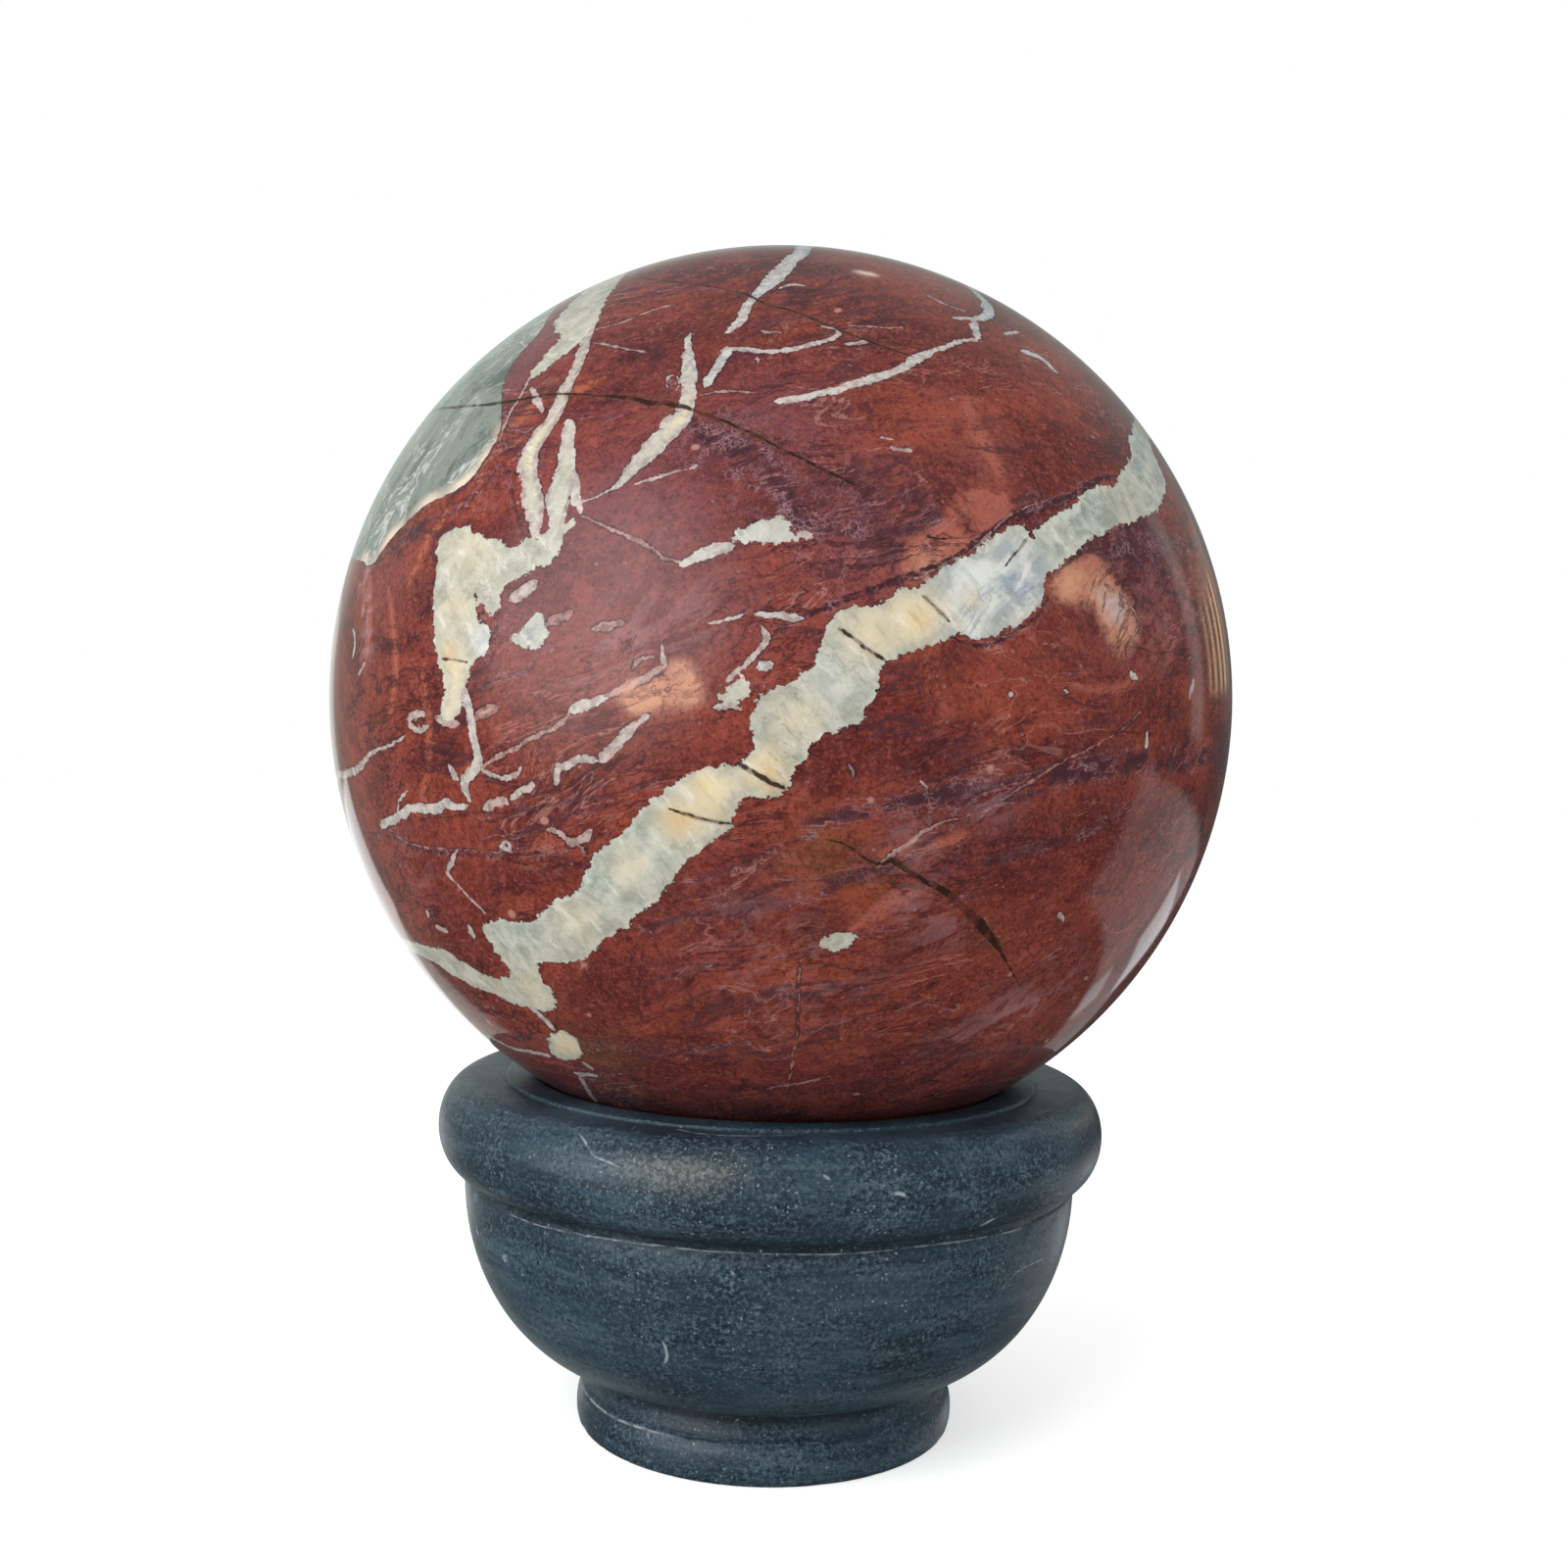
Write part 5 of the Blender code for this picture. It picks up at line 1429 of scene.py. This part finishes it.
def turnedStand(name):
    rows = standRows()
    turns = np.linspace(0, math.tau, stand["segments"], endpoint=False)
    ring = np.stack((np.cos(turns), np.sin(turns)), 1)
    points, wear, faces = [], [], []
    ringStart = []
    for r, z, worn in rows:
        ringStart.append(len(points))
        if r < 1e-7:
            points.append((0.0, 0.0, z))
            wear.append(worn)
            continue
        for x, y in ring:
            spot = Vector((x * r, y * r, z))
            dent = 0.0
            if worn > stand["chipFrom"]:
                for scale, least, share in stand["chips"]:
                    level = max(0.0, noise.noise(spot * scale) - least)
                    dent += level * stand["chipDepth"] * share * worn
            points.append((x * (r - dent), y * (r - dent), max(z - dent * 0.3, 0.0)))
            wear.append(worn)
    count = stand["segments"]
    for row in range(len(rows) - 1):
        a, b = ringStart[row], ringStart[row + 1]
        single, nextSingle = rows[row][0] < 1e-7, rows[row + 1][0] < 1e-7
        for i in range(count):
            j = (i + 1) % count
            if single:
                faces.append((a, b + i, b + j))
            elif nextSingle:
                faces.append((a + i, b, a + j))
            else:
                faces.append((a + i, b + i, b + j, a + j))
    mesh = bpy.data.meshes.new(name)
    mesh.from_pydata(points, [], faces)
    mesh.update()
    shape = bmesh.new()
    shape.from_mesh(mesh)
    bmesh.ops.recalc_face_normals(shape, faces=shape.faces)
    shape.to_mesh(mesh)
    shape.free()
    mesh.shade_smooth()
    mesh.set_sharp_from_angle(angle=math.radians(50))
    mesh.attributes.new("wear", "FLOAT", "POINT").data.foreach_set("value", wear)
    print("stand rows:", len(rows))
    return mesh


# Marks on the front of the stand: x, y and half width in photo pixels
standMarks = {
    "lip scuff": (
        (690, 1152, 0.8), (702, 1155, 2.2), (724, 1158, 1.8), (752, 1159, 2.2), (782, 1159, 1.4),
        (812, 1158, 0.8)),
    "ridge scuff": (
        (520, 1239, 0.3), (549, 1251, 0.7), (609, 1263, 0.4), (685, 1273, 0.7), (723, 1277, 0.4),
        (790, 1280, 0.2), (860, 1280, 0.5), (906, 1276, 0.3), (946, 1271, 0.6), (986, 1266, 0.3),
        (1019, 1260, 0.6), (1044, 1253, 0.3)),
    "foot scuff": (
        (593, 1414, 0.7), (606, 1432, 1.1), (624, 1446, 0.9), (652, 1457, 1.1), (687, 1466, 0.6)),
    "scratch": ((590, 1156, 0.5), (596, 1163, 1.0), (601, 1172, 1.2), (606, 1180, 0.6)),
    "scratch b": ((606, 1180, 0.6), (622, 1186, 1.0), (634, 1192, 0.5)),
    "squiggle": ((746, 1296, 0.8), (750, 1303, 1.8), (745, 1310, 1.6), (747, 1318, 0.8)),
    "smear": ((676, 1368, 0.8), (680, 1377, 1.7), (681, 1386, 1.5), (676, 1394, 0.8)),
    "spindle": ((1000, 1251, 1.0), (1008, 1247, 2.4), (1016, 1243, 1.2)),
    "body vein": ((1022, 1316, 0.4), (1034, 1300, 0.8), (1052, 1290, 0.7), (1066, 1284, 0.4)),
    "left spot": ((485, 1248, 2.5), (487, 1258, 3)),
    "pale spot": ((562, 1288, 1.2), (564, 1290, 1.4)),
    "pale spot b": ((873, 1309, 1.3), (875, 1310, 1.3)),
    "pale spot c": ((770, 1292, 1.3), (772, 1294, 1.5)),
    "left ring": ((514, 1281, 1), (519, 1282, 1), (518, 1287, 1), (513, 1286, 1), (513, 1282, 0.8)),
    "white fleck": ((842, 1200, 2.4), (846, 1203, 2.0)),
    "speck cluster": ((905, 1215, 1.0), (912, 1219, 2.2), (920, 1216, 1.6), (925, 1222, 1.0)),
}

# Parts of the front with more salt, a painted warm highlight or a darker tone: x, y, radius in mm and
# strength
standAreas = {
    "salt": (
        (640, 1205, 14, 1.0), (700, 1205, 18, 1.0), (770, 1198, 16, 0.8), (900, 1220, 14, 0.7),
        (830, 1170, 12, 0.5), (700, 1330, 26, 0.6), (860, 1320, 26, 0.5), (640, 1330, 18, 0.5),
        (940, 1300, 20, 0.5), (745, 1155, 12, 0.8), (745, 1500, 22, 0.7), (800, 1400, 20, 0.3),
        (540, 1160, 14, 0.3)),
    # painted highlight: a warm sheen along the front of the bead
    "paintedSheen": (
        (640, 1190, 4.5, 0.4), (656, 1193, 4.5, 0.6), (672, 1196, 4.5, 0.8), (690, 1198, 4.5, 1.0),
        (706, 1199, 4.5, 1.0), (722, 1199, 4.5, 0.8), (738, 1197, 4.5, 0.6), (754, 1195, 4.5, 0.3)),
    "dark": (
        (560, 1225, 14, 0.5), (600, 1300, 14, 0.4), (790, 1256, 30, 0.3), (650, 1420, 16, 0.4),
        (900, 1390, 24, 0.3), (480, 1150, 10, 0.4), (1062, 1300, 18, 1.0), (1046, 1345, 16, 0.8),
        (1072, 1270, 12, 0.8)),
}


def onMesh(mesh, pixels):
    # the points of a mesh behind image pixels, in metres
    tree = BVHTree.FromPolygons([v.co for v in mesh.vertices], [p.vertices for p in mesh.polygons])
    found = []
    for ray in raysThrough(np.asarray(pixels, float)):
        hit = tree.ray_cast(Vector(eyePlace), Vector(ray))[0]
        found.append(hit if hit else (0, 0, 0))
    return np.array(found)


standMesh = turnedStand("turned stand")
standSpots = np.empty(len(standMesh.vertices) * 3)
standMesh.vertices.foreach_get("co", standSpots)
standSpots = standSpots.reshape(-1, 3) * toMm
standOutward = np.empty(len(standMesh.vertices) * 3)
standMesh.vertex_normals.foreach_get("vector", standOutward)
standOutward = standOutward.reshape(-1, 3)
standThreads = []
for points in standMarks.values():
    route = roundOff(np.array(points, float), 1)
    where = onMesh(standMesh, route[:, :2]) * toMm
    depth = (where - eyePlace * toMm) @ aheadAxis
    standThreads.append((where, route[:, 2] * depth / focalPixels, 0.0))
markCount = writeThreads(standMesh, standSpots, standOutward, standThreads, "mark")
standTints = []
for areas in standAreas.values():
    total = np.zeros(len(standSpots))
    middles = onMesh(standMesh, [area[:2] for area in areas]) * toMm
    for (_, _, reach, strength), middle in zip(areas, middles):
        away2 = ((standSpots - middle) ** 2).sum(1)
        total = np.maximum(total, strength * np.exp(-away2 / reach**2))
    standTints.append(total)
setVectors(standMesh, "standTint", np.stack(standTints, 1))

# Dark stone: colours as they look on screen
darkStone = {
    "slate": (47, 70, 85),
    "slateDark": (35, 53, 66),
    "slatePale": (86, 106, 116),
    "slateDeep": (20, 31, 40),
    "salt": (150, 166, 172),
    # painted shade: height and reach of the darker bands in the hollows
    "hollowShade": [(0.0868, 0.0055), (0.0205, 0.0045)],    # height and reach in metres
    "scuff": (168, 178, 180),
    # colour of the painted highlight on the bead
    "paintedSheenColour": (118, 118, 108),
    "powder": (112, 130, 138),
    "rareSpeck": (176, 188, 190),
    "gloss": 0.34,
}


def slateStone():
    ink = inksOf(darkStone)
    material = bpy.data.materials.new("dark stone")
    material.use_nodes = True
    tree = material.node_tree
    shader = tree.nodes["Principled BSDF"]
    place = addNode(tree, "TexCoord").outputs["Object"]
    parts = addNode(tree, "SeparateXYZ", {"Vector": place})
    out = sums(tree, "SQRT", sums(tree, "ADD", times(tree, parts.outputs[0], parts.outputs[0]),
                                  times(tree, parts.outputs[1], parts.outputs[1])))
    lathe = addNode(tree, "CombineXYZ", {"X": out, "Y": 0.0, "Z": parts.outputs[2]}).outputs[0]
    salty, paintedSheen, dim = attributeParts(tree, "standTint")
    grain = useGroup(tree, grainGroup, Vector=place, Broad=26.0, Fine=620.0)
    ground = mixColour(tree, softStep(tree, grain.outputs["Clouds"], 0.34, 0.62), ink["slateDark"],
                       ink["slate"])
    # turning lines: drawn out round the stone, broad and fine
    drawnOut = vectorSums(tree, "MULTIPLY", place, (0.11, 0.11, 1.0))
    drag = clouds(tree, drawnOut, 190.0, 4.0, 0.6)
    lines = clouds(tree, drawnOut, 620.0, 4.0, 0.65)
    rings = clouds(tree, lathe, 900.0, 3.0, 0.7)
    patchy = softStep(tree, clouds(tree, place, 34.0, 3.0, 0.55), 0.38, 0.6, 0.2, 1.0)
    ground = mixColour(tree, softStep(tree, drag, 0.52, 0.66, 0.0, 0.35), ground, ink["slatePale"])
    ground = mixColour(tree, softStep(tree, drag, 0.47, 0.35, 0.0, 0.45), ground, ink["slateDeep"])
    ground = mixColour(tree, softStep(tree, lines, 0.54, 0.68, 0.0, 0.35), ground, ink["slatePale"])
    ground = mixColour(tree, softStep(tree, lines, 0.46, 0.34, 0.0, 0.35), ground, ink["slateDeep"])
    ground = mixColour(tree, softStep(tree, rings, 0.56, 0.74, 0.0, 0.3), ground, ink["slatePale"])
    # grain and salt-like specks
    grit = clouds(tree, place, 760.0, 4.0, 0.75)
    pitted = softStep(tree, clouds(tree, place, 60.0, 3.0, 0.6), 0.36, 0.62, 0.35, 0.95)
    ground = mixColour(tree, times(tree, softStep(tree, grit, 0.52, 0.62), pitted), ground,
                       ink["slatePale"])
    ground = mixColour(tree, times(tree, softStep(tree, grit, 0.47, 0.38), pitted), ground,
                       ink["slateDeep"])
    powder = clouds(tree, place, 1100.0, 3.0, 0.75)
    ground = mixColour(tree, softStep(tree, powder, 0.57, 0.70, 0.0, 0.5), ground, ink["powder"])
    # painted shade in the cove under the bead and in the neck: darker bands where these hollows lie in shade
    height = parts.outputs[2]
    for level, reach in darkStone["hollowShade"]:
        away = sums(tree, "ABSOLUTE", sums(tree, "SUBTRACT", height, level))
        ground = mixColour(tree, softStep(tree, away, reach, reach * 0.2, 0.0, 0.55), ground,
                           ink["slateDeep"])
    ground = mixColour(tree, times(tree, dim, 0.45), ground, ink["slateDeep"])
    # painted highlight: the warm sheen on the front of the bead
    ground = mixColour(tree, times(tree, paintedSheen, softStep(
        tree, grit, 0.42, 0.58, 0.2, 0.75), clamp=True), ground, ink["paintedSheenColour"])
    saltShare = sums(tree, "MULTIPLY_ADD", salty, 0.42, times(tree, patchy, 0.10))
    jolt = vectorSums(tree, "SCALE", clouds(tree, place, 900.0, 2.0, 0.7, colour=True))
    jolt.node.inputs["Scale"].default_value = 0.0016
    shaken = vectorSums(tree, "ADD", place, jolt)
    specks = useGroup(tree, speckGroup, Vector=shaken, Scale=820.0, Size=0.28, Share=saltShare)
    ground = mixColour(tree, times(tree, specks.outputs["Mask"], 0.55), ground, ink["salt"])
    coarseSalt = sums(tree, "MULTIPLY_ADD", salty, 0.16, 0.03)
    bright = useGroup(tree, speckGroup, Vector=shaken, Scale=430.0, Size=0.16, Share=coarseSalt)
    ground = mixColour(tree, times(tree, bright.outputs["Mask"], 0.5), ground, ink["salt"])
    rare = useGroup(tree, speckGroup, Vector=shaken, Scale=150.0, Size=0.08, Share=0.04)
    ground = mixColour(tree, times(tree, rare.outputs["Mask"], 0.7), ground, ink["rareSpeck"])

    # scuffed arrises and the marks on the front
    wear = addNode(tree, "Attribute", attribute_name="wear").outputs["Fac"]
    rub = clouds(tree, place, 220.0, 4.0, 0.6)
    rubWide = clouds(tree, place, 30.0, 2.0, 0.5)
    worn = softStep(tree, sums(tree, "MULTIPLY_ADD", wear, 0.5, sums(tree, "MULTIPLY_ADD", rub, 0.5, times(
        tree, rubWide, 0.35))), 0.94, 1.10)
    ground = mixColour(tree, times(tree, worn, 0.6), ground, ink["scuff"])
    markDepth = threadFields(tree, "mark", markCount, 0.0, 0.0, 1.0)[0]
    marks = times(tree, softStep(tree, markDepth, -0.3, 0.3),
                  softStep(tree, rub, 0.38, 0.58, 0.1, 0.78))
    ground = mixColour(tree, marks, ground, ink["scuff"])

    feed(tree, ground, shader.inputs["Base Color"])
    polish = useGroup(tree, polishGroup, Vector=place, Gloss=darkStone["gloss"], Smears=0.12, Pits=0.08)
    rough = sums(tree, "MULTIPLY_ADD", worn, 0.25, polish.outputs["Roughness"], clamp=True)
    feed(tree, rough, shader.inputs["Roughness"])
    relief = sums(tree, "MULTIPLY_ADD", rings, 0.35, polish.outputs["Height"])
    bump = addNode(tree, "Bump", {"Height": relief, "Strength": 0.25, "Distance": 0.0004})
    feed(tree, bump.outputs["Normal"], shader.inputs["Normal"])
    shader.inputs["IOR"].default_value = 1.5
    return material


placePiece("turned-stand", standMesh, (0, 0, 0), "stand", slateStone())
print("stand made")

# Studio: pale floor, a white surround for the camera and a calm grey room for reflections
studio = {
    "floorSize": 14.0,
    "floorSeen": (0.92, 0.92, 0.92, 1),      # colours for camera rays and for all others
    "floorLighting": (0.72, 0.71, 0.70, 1),
    "floorGlow": (0.5, 0.5, 0.5, 1),
    "surround": (1.0, 1.0, 1.0, 1),
    "roomLight": (0.62, 0.62, 0.62, 1),
    "roomLow": (0.05, 0.05, 0.05, 1),        # what the polish mirrors, low and high
    "roomHigh": (0.14, 0.15, 0.15, 1),
    "keyPower": 24.0,
    "fillPower": 5.0,
    "leftPower": 12.0,
}


def addFloor():
    half = studio["floorSize"] / 2
    mesh = bpy.data.meshes.new("floor")
    corners = [(-half, -half, 0), (half, -half, 0), (half, half, 0), (-half, half, 0)]
    mesh.from_pydata(corners, [], [(0, 1, 2, 3)])
    material = bpy.data.materials.new("pale floor")
    material.use_nodes = True
    tree = material.node_tree
    shader = tree.nodes["Principled BSDF"]
    seen = addNode(tree, "LightPath").outputs["Is Camera Ray"]
    colour = mixColour(tree, seen, studio["floorLighting"], studio["floorSeen"])
    feed(tree, colour, shader.inputs["Base Color"])
    glow = mixColour(tree, seen, (0, 0, 0, 1), studio["floorGlow"])
    feed(tree, glow, shader.inputs["Emission Color"])
    shader.inputs["Emission Strength"].default_value = 1.0
    shader.inputs["Roughness"].default_value = 0.9
    mesh.materials.append(material)
    floor = bpy.data.objects.new("floor", mesh)
    floor.location.z = -0.0002
    floor.visible_glossy = False
    bpy.context.scene.collection.objects.link(floor)


def addArea(name, place, target, size, power):
    light = bpy.data.lights.new(name, "AREA")
    light.shape = "DISK"
    light.size = size
    light.energy = power
    holder = bpy.data.objects.new(name, light)
    holder.location = place
    holder.rotation_euler = (Vector(target) - Vector(place)).to_track_quat("-Z", "Y").to_euler()
    holder.visible_glossy = False
    holder.visible_camera = False
    bpy.context.scene.collection.objects.link(holder)


# What the polish mirrors. Soft rounds: degrees round and up, radius, softness, brightness
roomRounds = {
    "soft panel": (-46, 15, 27, 0.95, (1.8, 1.75, 1.7)),
    "grey wall, left": (-140, 8, 34, 0.8, (0.20, 0.22, 0.19)),
    "grey wall, right": (150, 30, 26, 0.8, (0.08, 0.09, 0.08)),
    "ceiling": (178, 44, 40, 0.9, (0.07, 0.08, 0.08)),
    "lamp": (169.4, 47.6, 1.2, 0.6, (3.0, 2.7, 2.2)),
    "bright edge, left": (-170, 6, 24, 0.6, (0.22, 0.25, 0.24)),
}

# Panes: from and to in degrees round and up, softness in degrees, brightness
roomPanes = {
    "pale wall, right": (99, 134, -30.5, -9.0, 2.2, (0.44, 0.45, 0.46)),
    "far wall, right": (134, 150, -30.5, -9.0, 2.2, (0.32, 0.33, 0.34)),
    "shutter, right": (130, 152, 3.0, 15.0, 2.0, (0.2, 0.15, 0.10)),
    "window, right": (138, 150.5, -21.5, -13.5, 1.0, (0.8, 0.85, 0.88)),
    "window sill, right": (136, 144, -31, -26.5, 1.0, (0.6, 0.62, 0.64)),
    "pillar, right": (119, 126, -2, 26, 2.0, (0.4, 0.42, 0.4)),
    "window, left": (-179, -142.5, -17.5, -5, 1.0, (1.0, 1.02, 1.04)),
    "curtain, left": (-179, -150, -5, 6, 2.0, (0.4, 0.38, 0.36)),
    "low wall, left": (-179, -146, -55, -17.5, 2.0, (0.34, 0.38, 0.36)),
    "low wall, right": (150, 179, -50, -20, 2.0, (0.25, 0.3, 0.3)),
}

# Slats behind the stand at the right: soft edges in radians round and as heights on the unit sphere
roomSlats = {
    "perRadian": 72.0,
    "left": (2.27, 2.30),
    "right": (2.64, 2.56),
    "bottom": (0.04, 0.075),
    "top": (0.22, 0.18),
    "gap": (0.14, 0.10, 0.07, 1),
    "slat": (1.25, 1.0, 0.66, 1),
}


def paneMask(tree, compass, height, left, right, bottom, top):
    # 1 within four soft edges, each from its outer to its inner limit
    sideways = times(tree, softStep(tree, compass, *left), softStep(tree, compass, *right))
    upwards = times(tree, softStep(tree, height, *bottom), softStep(tree, height, *top))
    return times(tree, sideways, upwards)


def addWorld():
    world = bpy.data.worlds.new("studio")
    bpy.context.scene.world = world
    world.use_nodes = True
    tree = world.node_tree
    surround = tree.nodes["Background"]
    path = addNode(tree, "LightPath")
    towards = addNode(tree, "TexCoord").outputs["Generated"]
    parts = addNode(tree, "SeparateXYZ", {"Vector": towards})
    high = softStep(tree, parts.outputs[2], -0.25, 0.5)
    mirrored = mixColour(tree, high, studio["roomLow"], studio["roomHigh"])
    for turn, lift, size, soft, brightness in roomRounds.values():
        axis = fromAngles([(turn, lift)])[0]
        facing = addNode(tree, "VectorMath", operation="DOT_PRODUCT")
        feed(tree, towards, facing.inputs[0])
        feed(tree, tuple(axis), facing.inputs[1])
        outer = math.cos(math.radians(size * (1 + soft / 2)))
        inner = math.cos(math.radians(size * max(1 - soft, 0.0)))
        glow = softStep(tree, facing.outputs["Value"], outer, inner)
        mirrored = mixColour(tree, glow, mirrored, (*brightness, 1), "ADD")
    compass = sums(tree, "ARCTAN2", parts.outputs[0], times(tree, parts.outputs[1], -1.0))
    for fromTurn, toTurn, fromLift, toLift, soft, brightness in roomPanes.values():
        left = np.radians((fromTurn - soft, fromTurn + soft)).tolist()
        right = np.radians((toTurn + soft, toTurn - soft)).tolist()
        bottom = np.sin(np.radians((fromLift - soft / 2, fromLift + soft / 2))).tolist()
        top = np.sin(np.radians((toLift + soft / 2, toLift - soft / 2))).tolist()
        pane = paneMask(tree, compass, parts.outputs[2], left, right, bottom, top)
        mirrored = mixColour(tree, pane, mirrored, (*brightness, 1), "ADD")
    wave = sums(tree, "SINE", times(tree, compass, roomSlats["perRadian"]))
    slatColour = mixColour(tree, softStep(tree, wave, -0.3, 0.7), roomSlats["gap"], roomSlats["slat"])
    edges = [roomSlats[side] for side in ("left", "right", "bottom", "top")]
    pane = paneMask(tree, compass, parts.outputs[2], *edges)
    mirrored = mixColour(tree, pane, mirrored, slatColour)
    room = mixColour(tree, path.outputs["Is Glossy Ray"], studio["roomLight"], mirrored)
    seen = mixColour(tree, path.outputs["Is Camera Ray"], room, studio["surround"])
    feed(tree, seen, surround.inputs["Color"])
    surround.inputs["Strength"].default_value = 1.0


addFloor()
addWorld()
aim = (0, 0, 0.2)
addArea("key", (-0.9, -1.6, 1.5), aim, 1.2, studio["keyPower"])
addArea("fill", (1.4, -1.2, 0.9), aim, 1.4, studio["fillPower"])
addArea("left", (-1.9, -0.5, 0.5), aim, 1.2, studio["leftPower"])
bpy.context.scene.view_settings.view_transform = "Standard"
print("studio lit")
